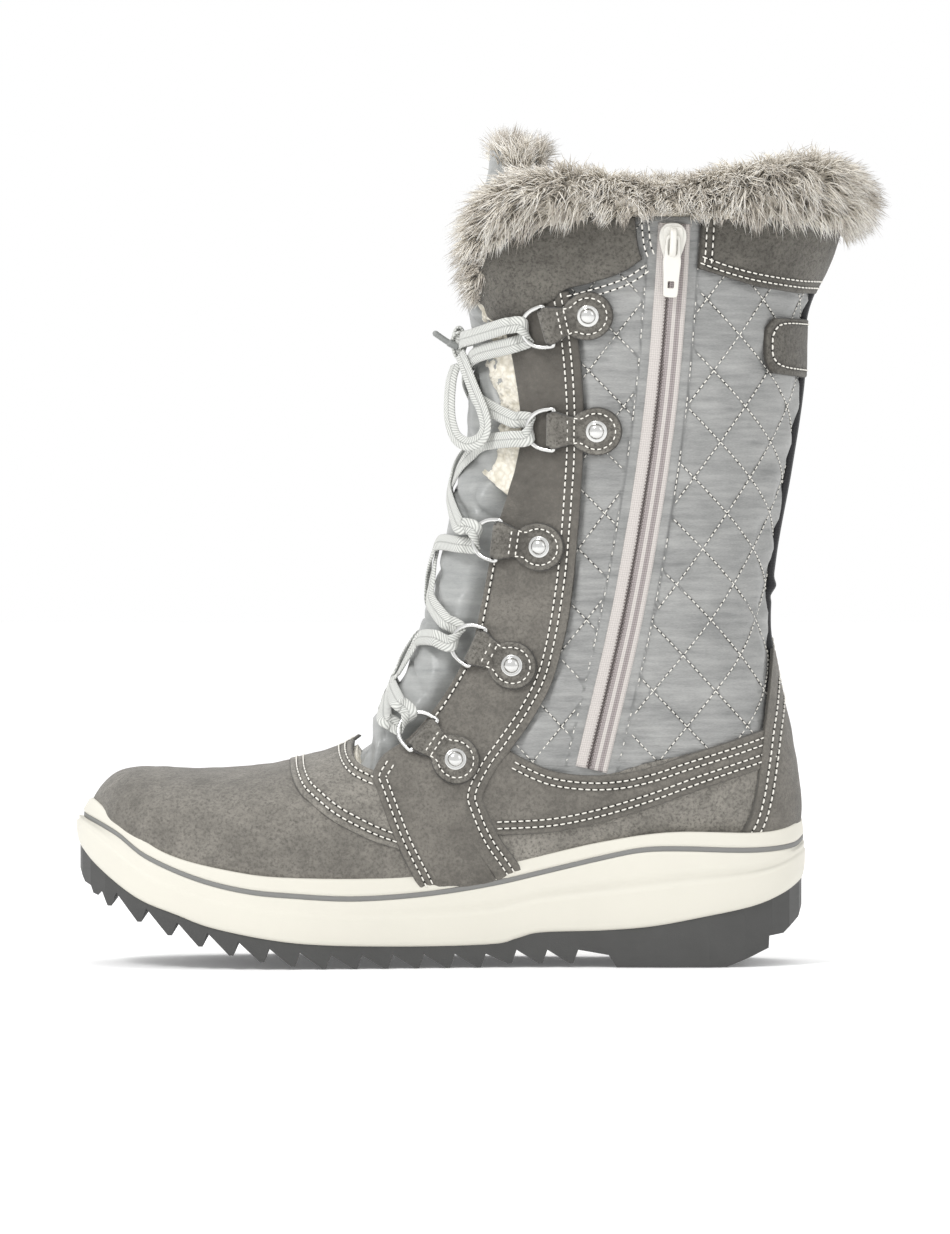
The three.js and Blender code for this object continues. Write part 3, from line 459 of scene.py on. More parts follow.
def slab(outer: Array, inner: Array, marks: dict[str, Array] | None = None,
         wrap: bool = False) -> Shape:
    """Closed sheet between two grids of points of one size.

    Args:
        outer: rows by columns of points.
        inner: the same grid on the other face.
        marks: values on the outer grid, copied to the inner one.
        wrap: whether each row is a ring.

    Returns:
        The sheet with its rims, its faces outwards.
    """
    rows, cols = outer.shape[:2]
    index = np.arange(rows * cols).reshape(rows, cols)
    if wrap:
        rims = [np.append(index[0], index[0, 0]), np.append(index[-1], index[-1, 0])[::-1]]
    else:
        rims = [np.concatenate([index[0], index[1:, -1], index[-1, -2::-1], index[-2::-1, 0]])]
    faces = [weave(rows, cols, 0, wrap), weave(rows, cols, rows * cols, wrap)[:, ::-1]]
    for rim in rims:
        a, b = rim[:-1], rim[1:]
        faces.append(np.stack([a, b, b + rows * cols, a + rows * cols], -1))
    points = np.vstack([outer.reshape(-1, 3), inner.reshape(-1, 3)])
    both = {k: np.tile(v.ravel(), 2) for k, v in (marks or {}).items()}
    return Shape(points, faces, both).turned_out()


def hose(path: Array, radii: Array, normals: Array, profile: Array, closed: bool = False,
         marks: bool = False) -> Shape:
    """Profile carried along a path, square to it.

    Args:
        path: points of the middle line.
        radii: scale of the profile at each point.
        normals: direction of the profile's second axis at each point.
        profile: corners in the plane across the path, as across, up.
        closed: whether the path is a ring.
        marks: whether to add run and across marks for a braid.

    Returns:
        The closed shape; open ends are capped by one face.
    """
    ahead = np.roll(path, -1, 0) - np.roll(path, 1, 0) if closed else np.gradient(path, axis=0)
    way = unit(ahead)
    across = unit(np.cross(normals, way))
    up = np.cross(way, across)
    radii = np.broadcast_to(np.asarray(radii, float), (len(path),))
    p = profile[None] * radii[:, None, None]
    rings = path[:, None] + across[:, None] * p[..., :1] + up[:, None] * p[..., 1:]
    rows, cols = rings.shape[:2]
    named = {}
    if marks:
        named = {"run": np.repeat(lengths(path), cols), "across": np.tile(profile[:, 0], rows)}
    if not closed:
        return tube(rings, named)
    faces = [weave(rows, cols, 0, True), closing(rows, cols)]
    return Shape(rings.reshape(-1, 3), faces, named).turned_out()


def many(count: int, rows: int, cols: int, caps: Sequence[Sequence[int]]) -> list[Array]:
    """Faces of many small tubes in one mesh, each of rows by cols points, with their caps."""
    offset = (np.arange(count) * rows * cols)[:, None, None]
    lids = np.array(caps)
    return [(weave(rows, cols, 0, True)[None] + offset).reshape(-1, 4),
            (lids[None] + offset).reshape(-1, lids.shape[1])]


def oval(half_width: float, half_height: float, sides: int, power: float = 2.0) -> Array:
    """Superellipse profile of a number of sides."""
    turn = np.linspace(0, 2 * np.pi, sides, endpoint=False) + np.pi / sides
    c, w = np.cos(turn), np.sin(turn)
    r = (np.abs(c) ** power + np.abs(w) ** power) ** (-1 / power)
    return np.stack([half_width * r * c, half_height * r * w], -1)


def spots(path: Array, pitch: float) -> tuple[Array, Array]:
    """Evenly spaced run values along a path, and the path's running length."""
    run = lengths(path)
    count = max(int(run[-1] // pitch), 1)
    return (np.arange(count) + 0.5) * run[-1] / count, run


@dataclass(frozen=True)
class Seam:
    """A row of stitches: thread radius, stitch length and pitch, in millimetres."""

    radius: float = 0.35
    length: float = 2.0
    pitch: float = 2.65

    def holes(self, rows: Sequence[tuple[Array, Array]]) -> Shape:
        """Painted shadow of the needle holes between the stitches: dark, low four-sided lids."""
        middles, ups = [], []
        for path, normals in rows:
            middle, run = spots(path, self.pitch)
            gaps = (middle[1:] + middle[:-1]) / 2
            if len(gaps):
                middles.append(read_off(path, run, gaps))
                ups.append(read_off(normals, run, gaps))
        at, up = np.vstack(middles), unit(np.vstack(ups))
        side = unit(np.cross(up, [0.3, 0.2, 0.93]))
        other = np.cross(up, side)
        turn = np.linspace(0, 2 * np.pi, 4, endpoint=False)
        rings = []
        for r, c in ((1.35, -1.1), (1.0, 0.02)):
            ring = side[:, None] * np.cos(turn)[:, None] + other[:, None] * np.sin(turn)[:, None]
            rings.append(at[:, None] + (ring * r + up[:, None] * c) * self.radius)
        faces = many(len(at), 2, 4, [[0, 1, 2, 3], [7, 6, 5, 4]])
        return Shape(np.concatenate(rings, 1).reshape(-1, 3), faces).turned_out()

    def sewn(self, rows: Sequence[tuple[Array, Array]]) -> Shape:
        """Stitches along rows of points with normals, all joined in one shape.

        Each stitch is a four-sided thread of four rings that dips into the cloth at its ends.
        """
        starts, ends, ups = [], [], []
        for path, normals in rows:
            middle, run = spots(path, self.pitch)
            starts.append(read_off(path, run, middle - self.length / 2))
            ends.append(read_off(path, run, middle + self.length / 2))
            ups.append(read_off(normals, run, middle))
        a, b, up = np.vstack(starts), np.vstack(ends), unit(np.vstack(ups))
        way = unit(b - a)
        across = unit(np.cross(up, way))
        up = np.cross(way, across)
        size = np.linalg.norm(b - a, axis=1)
        turn = np.linspace(0, 2 * np.pi, 4, endpoint=False) + np.pi / 4
        stations = np.array([[-0.5, 0.5, -0.7], [-0.3, 1, 0.1], [0.3, 1, 0.1], [0.5, 0.5, -0.7]])
        t, fat, rise = stations[:, 0], stations[:, 1] * self.radius, stations[:, 2] * self.radius
        along = (t[:, None] * np.ones(4)).ravel()
        side = (fat[:, None] * np.cos(turn)).ravel()
        lift = (rise[:, None] + fat[:, None] * np.sin(turn)).ravel()
        points = (((a + b) / 2)[:, None] + way[:, None] * (along[None, :, None] * size[:, None, None])
                  + across[:, None] * side[None, :, None] + up[:, None] * lift[None, :, None])
        faces = many(len(a), 4, 4, [[0, 1, 2, 3], [15, 14, 13, 12]])
        return Shape(points.reshape(-1, 3), faces).turned_out()


QUILTING = Seam(0.25, 1.65, 2.25)
TAB_SEWING = Seam(0.34, 1.7, 2.4)


# ------------------------------------------------------------------------ finishes
class Flow:
    """A value or colour inside a material; arithmetic on it adds its Math nodes."""

    def __init__(self, graph: "Graph", socket: bpy.types.NodeSocket) -> None:
        """Wraps an output socket of a graph."""
        self.graph, self.socket = graph, socket

    def _join(self, operation: str, first: "Flow | float", second: "Flow | float" = 0.0) -> "Flow":
        """One Math node on two values."""
        return self.graph.node("ShaderNodeMath", {"operation": operation}, {0: first, 1: second})

    def __add__(self, other: "Flow | float") -> "Flow":
        """Sum."""
        return self._join("ADD", self, other)

    def __sub__(self, other: "Flow | float") -> "Flow":
        """Difference."""
        return self._join("SUBTRACT", self, other)

    def __rsub__(self, other: float) -> "Flow":
        """Difference from a number."""
        return self._join("SUBTRACT", other, self)

    def __mul__(self, other: "Flow | float") -> "Flow":
        """Product."""
        return self._join("MULTIPLY", self, other)

    def __truediv__(self, other: "Flow | float") -> "Flow":
        """Quotient."""
        return self._join("DIVIDE", self, other)

    def __pow__(self, other: float) -> "Flow":
        """Power."""
        return self._join("POWER", self, other)

    __radd__ = __add__
    __rmul__ = __mul__

    def held(self) -> "Flow":
        """The value kept between 0 and 1."""
        return self.graph.node("ShaderNodeClamp", {}, {0: self})

    def wave(self) -> "Flow":
        """Its sine."""
        return self._join("SINE", self)

    def size(self) -> "Flow":
        """Its value without sign."""
        return self._join("ABSOLUTE", self)

    def remainder(self) -> "Flow":
        """Its part after the point."""
        return self._join("FRACT", self)

    def over(self, edge: float, spread: float) -> "Flow":
        """0 below edge and 1 above it, over a spread."""
        return ((self - (edge - spread / 2)) / spread).held()


class Graph:
    """The node tree of one material, with its surface shader."""

    def __init__(self, name: str) -> None:
        """Starts a material with one principled shader and its output."""
        self.material = bpy.data.materials.new(name)
        self.material.use_nodes = True
        self.tree = self.material.node_tree
        self.tree.nodes.clear()
        self.output = self.tree.nodes.new("ShaderNodeOutputMaterial")
        self.shader = self.tree.nodes.new("ShaderNodeBsdfPrincipled")
        self.tree.links.new(self.shader.outputs[0], self.output.inputs[0])
        self.place = self.node("ShaderNodeTexCoord", {}, {}, "Object")

    def node(self, kind: str, settings: dict, inputs: dict, out: int | str = 0) -> Flow:
        """Adds a node.

        Args:
            kind: its Blender type.
            settings: its own properties, set first.
            inputs: sockets by name or number, as links or values.
            out: the output to return.

        Returns:
            The flow from that output.
        """
        made = self.tree.nodes.new(kind)
        for key, value in settings.items():
            setattr(made, key, value)
        for key, value in inputs.items():
            if isinstance(value, Flow):
                self.tree.links.new(value.socket, made.inputs[key])
            else:
                made.inputs[key].default_value = value
        return Flow(self, made.outputs[out])

    def mark(self, name: str) -> Flow:
        """A point mark of the piece."""
        return self.node("ShaderNodeAttribute", {"attribute_name": name}, {}, "Fac")

    def stretched(self, scale: Triple, turn: Triple = (0, 0, 0)) -> Flow:
        """Object coordinates, scaled and turned."""
        return self.node("ShaderNodeMapping", {},
                         {"Vector": self.place, "Scale": scale, "Rotation": turn})

    def noise(self, scale: float, detail: float = 3.0, rough: float = 0.55,
              place: Flow | None = None) -> Flow:
        """Noise from 0 to 1 on the piece's coordinates."""
        return self.node("ShaderNodeTexNoise", {}, {
            "Vector": place or self.place, "Scale": scale, "Detail": detail, "Roughness": rough})

    def cells(self, scale: float) -> Flow:
        """Distance to the nearest point of a scatter."""
        return self.node("ShaderNodeTexVoronoi", {}, {"Vector": self.place, "Scale": scale})

    def blend(self, factor: Flow | float, first: Flow | tuple, second: Flow | tuple,
              kind: str = "MIX") -> Flow:
        """Colour between two colours."""
        return self.node("ShaderNodeMix", {"data_type": "RGBA", "blend_type": kind},
                         {0: factor, 6: first, 7: second}, 2)

    def bump(self, height: Flow, depth: float, strength: float = 1.0, under: Flow | None = None) -> Flow:
        """Normal from a height, where depth is in millimetres."""
        inputs: dict = {"Height": height, "Distance": depth * MM, "Strength": strength}
        if under:
            inputs["Normal"] = under
        return self.node("ShaderNodeBump", {}, inputs)

    def dress(self, **values: object) -> bpy.types.Material:
        """Sets the shader's sockets, given with _ for the spaces, and returns the material."""
        for key, value in values.items():
            socket = self.shader.inputs[key.replace("_", " ")]
            if isinstance(value, Flow):
                self.tree.links.new(value.socket, socket)
            else:
                socket.default_value = value
        return self.material


def tint(code: int, gain: float = 1.0) -> tuple[float, float, float, float]:
    """Linear colour from a hexadecimal display colour."""
    parts = [((code >> shift) & 255) / 255 for shift in (16, 8, 0)]
    linear = [p / 12.92 if p <= 0.04045 else ((p + 0.055) / 1.055) ** 2.4 for p in parts]
    return (*(min(p * gain, 1.0) for p in linear), 1.0)


@dataclass(frozen=True)
class Suede:
    """Brushed suede: blotches of turned nap, a fine grain, painted shade along its stitch rows and a darker
    rim at its edges.
    """

    name: str
    colour: int
    light: int
    grain: float = 1.0

    def build(self) -> bpy.types.Material:
        """The material."""
        g = Graph(self.name)
        nap = g.noise(55, 5, 0.6)
        brushed = g.noise(1.0, 4, 0.6, g.stretched((260, 260, 420), (0.3, 0.5, 0.2)))
        grain = g.noise(900, 3, 0.7)
        fibre = g.noise(4200, 2, 0.6)
        tone = nap * 0.45 + brushed * 0.3 + grain * 0.25
        patchy = g.blend(tone.over(0.5, 0.24), tint(self.colour), tint(self.light))
        # Partly painted shade: the tone mark multiplies a panel towards dark grey; on the heel counter it
        # stands for the shadow at the back of the boot.
        body = g.blend(g.mark("tone").held(), patchy, (0.44, 0.43, 0.425, 1.0), "MULTIPLY")
        speck = g.blend(grain.over(0.4, 0.24), tint(self.colour, 0.7), body)
        shade = g.mark("seam").over(0.55, 1.1)
        sewn = g.blend(shade, speck, tint(self.colour, 0.6))
        # darker along the rolled rim of each panel and tab
        cut = g.mark("rim").over(0.5, 0.6)
        colour = g.blend(cut, sewn, tint(self.colour, 0.55))
        height = grain * 0.9 + fibre * 0.5 + brushed * 0.8
        return g.dress(Base_Color=colour, Roughness=0.93, Specular_IOR_Level=0.25,
                       Sheen_Weight=0.18, Sheen_Roughness=0.5, Normal=g.bump(height, 0.32 * self.grain))


@dataclass(frozen=True)
class Nylon:
    """Woven nylon with a soft shine, finely crinkled along the boot's girth, with painted shade along its
    quilting lines.
    """

    name: str
    colour: int
    light: int
    crinkle: float = 0.5
    roughness: float = 0.42

    def build(self) -> bpy.types.Material:
        """The material."""
        g = Graph(self.name)
        level = g.noise(1.0, 4, 0.6, g.stretched((55, 55, 420)))
        broad = g.noise(1.0, 3, 0.5, g.stretched((30, 30, 110)))
        thread = g.noise(1.0, 1, 0.5, g.stretched((900, 900, 5200)))
        warp = g.noise(1.0, 1, 0.5, g.stretched((4200, 4200, 700)))
        near = 1 - g.mark("quilt").over(3.2, 6.0)
        tone = (level * 0.45 + broad * 0.35 + thread * 0.2).over(0.5, 0.3)
        body = g.blend(tone, tint(self.colour), tint(self.light))
        # Painted shade: the nylon darkens along the quilting stitch lines, where the puffs crease down.
        stitch = g.mark("quilt").over(0.45, 0.9)
        colour = g.blend(stitch, tint(self.colour, 0.68), body)
        height = level * (0.35 + near * 0.9) + broad * 0.8
        crinkled = g.bump(height, self.crinkle, 0.8)
        woven = g.bump(thread * 0.5 + warp * 0.5, 0.06, 0.6, crinkled)
        return g.dress(Base_Color=colour, Roughness=(level * 0.22 + (self.roughness - 0.1)),
                       Specular_IOR_Level=0.5, Sheen_Weight=0.12, Sheen_Roughness=0.35, Normal=woven)


@dataclass(frozen=True)
class Moulded:
    """Moulded rubber, foam or plastic: even colour, faint mottling and a fine skin."""

    name: str
    colour: int
    roughness: float
    mottle: float = 0.06
    pores: float = 0.05
    coat: float = 0.0
    glow: float = 0.0

    def build(self) -> bpy.types.Material:
        """The material."""
        g = Graph(self.name)
        broad = g.noise(38, 4, 0.6)
        fine = g.noise(2600, 2, 0.6)
        mottled = g.blend(broad.over(0.5, 0.5), tint(self.colour, 1 - self.mottle),
                          tint(self.colour, 1 + self.mottle))
        scuff = g.noise(1.0, 3, 0.6, g.stretched((90, 90, 500)))
        return g.dress(Base_Color=mottled, Roughness=self.roughness + (scuff - 0.5) * 0.18,
                       Specular_IOR_Level=0.4, Coat_Weight=self.coat, Coat_Roughness=0.3,
                       Emission_Color=(1.0, 1.0, 1.0, 1.0), Emission_Strength=self.glow,
                       Normal=g.bump(fine + scuff * 0.6, self.pores))


@dataclass(frozen=True)
class Hair:
    """Fur or fleece fibre, from a darker root to a tip, each fibre with its own tone."""

    name: str
    root: int
    middle: int
    tip: int
    dark: int

    def build(self) -> bpy.types.Material:
        """The material."""
        g = Graph(self.name)
        along, own = g.mark("along"), g.mark("own")
        lower = g.blend(along.over(0.3, 0.5), tint(self.root), tint(self.middle))
        pale = g.blend(along.over(0.72, 0.4), lower, tint(self.tip))
        deep = g.blend(along.over(0.55, 0.5), lower, tint(self.dark))
        streak = g.noise(70, 3, 0.6)
        colour = g.blend((own * 0.75 + streak * 0.5 - 0.12).over(0.52, 0.3), pale, deep)
        return g.dress(Base_Color=colour, Roughness=0.72, Specular_IOR_Level=0.25,
                       Sheen_Weight=0.25, Sheen_Roughness=0.4)


@dataclass(frozen=True)
class Fleece:
    """Curly pile, in cream, with painted shade in the soft hollows between its curls."""

    name: str
    colour: int
    hollow_shade: int

    def build(self) -> bpy.types.Material:
        """The material."""
        g = Graph(self.name)
        curl = g.cells(420)
        lump = g.noise(160, 4, 0.6)
        fluff = g.noise(1800, 3, 0.7)
        # the hollow colour is painted shade between the curls, where the bump height is low
        colour = g.blend((curl * 0.8 + lump * 0.35).over(0.62, 0.5), tint(self.colour), tint(self.hollow_shade))
        height = (1 - curl) * 0.8 + lump * 0.9 + fluff * 0.4
        return g.dress(Base_Color=colour, Roughness=0.95, Specular_IOR_Level=0.15,
                       Sheen_Weight=0.3, Sheen_Roughness=0.6, Normal=g.bump(height, 1.3, 0.9))


@dataclass(frozen=True)
class Braid:
    """Flat woven lace: a herringbone that runs with the lace's own marks."""

    name: str
    colour: int
    light: int
    pitch: float = 1.25
    slope: float = 0.75

    def build(self) -> bpy.types.Material:
        """The material."""
        g = Graph(self.name)
        run, across = g.mark("run"), g.mark("across")
        strand = ((run + across.size() * self.slope) / self.pitch).remainder()
        ridge = (1 - (strand * 2 - 1).size()).held()
        groove = across.size().over(0.28, 0.3)
        fine = g.noise(3200, 2, 0.6)
        shade = (ridge ** 0.6) * (0.45 + groove * 0.55)
        colour = g.blend(shade.over(0.45, 0.8), tint(self.colour, 0.62), tint(self.light))
        rubbed = g.blend(fine.over(0.5, 0.6), tint(self.colour), colour)
        final = g.blend(0.75, rubbed, colour)
        height = ridge * 0.8 + groove * 0.35 + fine * 0.3
        return g.dress(Base_Color=final, Roughness=0.72, Specular_IOR_Level=0.3,
                       Sheen_Weight=0.2, Normal=g.bump(height, 0.3))


@dataclass(frozen=True)
class Webbing:
    """Narrow woven tape, ribbed across."""

    name: str
    colour: int
    rib: float = 0.9
    roughness: float = 0.7

    def build(self) -> bpy.types.Material:
        """The material."""
        g = Graph(self.name)
        ribs = (g.mark("run") * (2 * math.pi / self.rib)).wave() * 0.5 + 0.5
        ends = (g.mark("across") * (2 * math.pi / (self.rib * 0.8))).wave() * 0.5 + 0.5
        fine = g.noise(2400, 2, 0.6)
        weft = ribs * 0.6 + ends * 0.4
        colour = g.blend((weft * 0.7 + fine * 0.3).over(0.5, 0.9), tint(self.colour, 0.74),
                         tint(self.colour, 1.12))
        return g.dress(Base_Color=colour, Roughness=self.roughness, Specular_IOR_Level=0.3,
                       Sheen_Weight=0.15, Normal=g.bump(weft + fine * 0.4, 0.14))


@dataclass(frozen=True)
class ZipTape:
    """Zip tape in pale and greyer woven bands, with a dark line of painted shade where the coils meet."""

    name: str
    pale: int
    grey: int
    channel: float = 1.2

    def build(self) -> bpy.types.Material:
        """The material."""
        g = Graph(self.name)
        run, across = g.mark("run"), g.mark("across")
        back = 0 - across
        centre = 1 - across.size().over(1.1, 0.3)
        band = back.over(2.5, 0.3) * (1 - back.over(4.3, 0.3))
        weft = (run * (2 * math.pi / 0.9)).wave() * 0.25
        threads = weft + (across * (2 * math.pi / 0.8)).wave() * 0.25 + 0.5
        pale = g.blend(threads, tint(self.pale, 0.82), tint(self.pale, 1.08))
        grey = g.blend(threads, tint(self.grey, 0.62), tint(self.grey, 1.2))
        woven = g.blend((centre + band).held(), pale, grey)
        # Painted shade: a near-black line on the tape under the gap where the coils meet.
        slot = 1 - (across - self.channel).size().over(0.35, 0.3)
        colour = g.blend(slot, woven, tint(self.grey, 0.25))
        return g.dress(Base_Color=colour, Roughness=0.7, Specular_IOR_Level=0.3,
                       Normal=g.bump(threads, 0.16))


@dataclass(frozen=True)
class Steel:
    """Polished plated steel, with light handling marks."""

    name: str
    colour: int = 0xd6d6d4
    roughness: float = 0.16

    def build(self) -> bpy.types.Material:
        """The material."""
        g = Graph(self.name)
        haze = g.noise(220, 4, 0.65)
        marks = g.noise(1.0, 3, 0.6, g.stretched((1500, 900, 300)))
        colour = g.blend(haze.over(0.5, 0.5), tint(self.colour, 0.9), tint(self.colour))
        return g.dress(Base_Color=colour, Metallic=1.0, Roughness=haze * 0.16 + (self.roughness - 0.06),
                       Normal=g.bump(marks, 0.02, 0.5))


class Finishes:
    """Every finish of the boot, made once."""

    def __init__(self) -> None:
        """Builds the materials."""
        self.suede = Suede("suede_grey", 0x706d67, 0x96928a).build()
        self.suede_dark = Suede("suede_collar", 0x504d48, 0x6f6c65, 1.3).build()
        self.tab = Suede("suede_tab", 0x57544f, 0x827f78, 1.1).build()
        self.quilt = Nylon("quilted_nylon", 0x777877, 0xa2a2a0, 1.3).build()
        self.tongue = Nylon("tongue_nylon", 0x8b8d8c, 0xa9aaa8, 0.55, 0.34).build()
        self.foam = Moulded("midsole_foam", 0xd4d1c6, 0.5, 0.015, 0.03).build()
        self.stripe = Moulded("midsole_stripe", 0x7b7b79, 0.6, 0.05, 0.03).build()
        self.rubber = Moulded("outsole_rubber", 0x454544, 0.55, 0.12, 0.08).build()
        self.fur = Hair("collar_fur", 0xc8c1b5, 0xf0eade, 0xfffdf8, 0xada499).build()
        self.fleece = Fleece("lining_fleece", 0xf4efe2, 0xd6cfbd).build()
        self.lace = Braid("lace_braid", 0xb2b3af, 0xdedfda).build()
        self.tag = Moulded("lace_tag", 0x8a8c8a, 0.4, 0.04, 0.02).build()
        self.thread = Moulded("sewing_thread", 0xe9e6de, 0.75, 0.04, 0.08).build()
        # near-black lids that paint the shadow in the needle holes between stitches
        self.hole = Moulded("needle_hole", 0x24231f, 0.95, 0.1, 0.02).build()
        self.tape = ZipTape("zip_tape", 0xc6c0bc, 0x9d9594).build()
        self.coil = Moulded("zip_coil", 0x6b6361, 0.42, 0.05, 0.03).build()
        self.strip = Webbing("heel_strip", 0x262628, 1.1).build()
        self.enamel = Moulded("zip_enamel", 0xdcdad3, 0.34, 0.02, 0.02, 0.3).build()
        self.steel = Steel("polished_steel").build()


# ------------------------------------------------------------------------ studio
@dataclass
class Studio:
    """Camera, pale floor and soft light."""

    centre: tuple[float, float] = (0.0820, 0.1328)
    tall: float = 0.4751
    distance: float = 3.2
    elevation: float = 1.2
    sensor: float = 36.0

    def camera(self) -> None:
        """Puts a long lens level with the boot, on its inner side."""
        data = bpy.data.cameras.new("camera")
        data.sensor_fit = "VERTICAL"
        data.sensor_height = self.sensor
        data.lens = self.sensor * self.distance / self.tall
        data.clip_end = 50
        camera = bpy.data.objects.new("camera", data)
        tilt = math.radians(self.elevation)
        camera.location = (self.centre[0], self.distance * math.cos(tilt),
                           self.centre[1] + self.distance * math.sin(tilt))
        camera.rotation_euler = (math.pi / 2 - tilt, 0, math.pi)
        bpy.context.scene.collection.objects.link(camera)
        bpy.context.scene.camera = camera

    def floor(self) -> None:
        """Lays a plain pale floor."""
        mesh = bpy.data.meshes.new("floor")
        reach = 6.0
        corners = ((-1, -1), (1, -1), (1, 1), (-1, 1))
        mesh.from_pydata([(reach * x, reach * y, FLOOR_HEIGHT) for x, y in corners], [], [(0, 1, 2, 3)])
        mesh.materials.append(Moulded("pale_floor", 0xfafafa, 0.9, 0.0, 0.0, glow=0.12).build())
        floor = bpy.data.objects.new("floor", mesh)
        bpy.context.scene.collection.objects.link(floor)

    def lamp(self, name: str, place: tuple, aim: tuple, size: float, power: float) -> None:
        """Hangs one soft square lamp, turned to a point."""
        data = bpy.data.lights.new(name, "AREA")
        data.shape = "SQUARE"
        data.size = size
        data.energy = power
        lamp = bpy.data.objects.new(name, data)
        lamp.location = place
        way = [a - p for a, p in zip(aim, place)]
        lamp.rotation_euler = Vector(way).to_track_quat("-Z", "Y").to_euler()
        bpy.context.scene.collection.objects.link(lamp)

    def light(self) -> None:
        """Lights the boot from a pale room and three soft lamps."""
        world = bpy.data.worlds.new("room")
        world.use_nodes = True
        world.node_tree.nodes["Background"].inputs[0].default_value = (1, 1, 1, 1)
        world.node_tree.nodes["Background"].inputs[1].default_value = 1.0
        bpy.context.scene.world = world
        bpy.context.scene.view_settings.view_transform = "Standard"
        middle = (0.08, 0.0, 0.15)
        self.lamp("key", (0.95, 1.1, 1.5), middle, 0.5, 15)
        self.lamp("fill", (-1.0, 1.1, 0.9), middle, 0.9, 2)
        self.lamp("top", (0.0, -0.5, 1.7), middle, 1.0, 5)

    def build(self) -> None:
        """Sets up the whole studio."""
        self.camera()
        self.floor()
        self.light()


# ------------------------------------------------------------------------ lacing
@dataclass(frozen=True)
class Seat:
    """Axes on the skin: forward along the boot, out of it, and across."""

    origin: Array
    out: Array
    forward: Array
    across: Array

    @staticmethod
    def on(x: float, z: float, side: Side, offset: float, ahead_x: float, ahead_z: float) -> "Seat":
        """Seat at x, z whose forward points to the ahead point."""
        places, normals = on_side([[x, z], [ahead_x, ahead_z]], side, offset)
        out = normals[0]
        way = places[1] - places[0]
        forward = unit(way - out * (way @ out))
        return Seat(places[0], out, forward, unit(np.cross(out, forward)))

    def at(self, a: Array | float, b: Array | float, c: Array | float) -> Array:
        """Point a forward, b across and c out."""
        a, b, c = (np.asarray(v, float)[..., None] for v in np.broadcast_arrays(a, b, c))
        return self.origin + a * self.forward + b * self.across + c * self.out


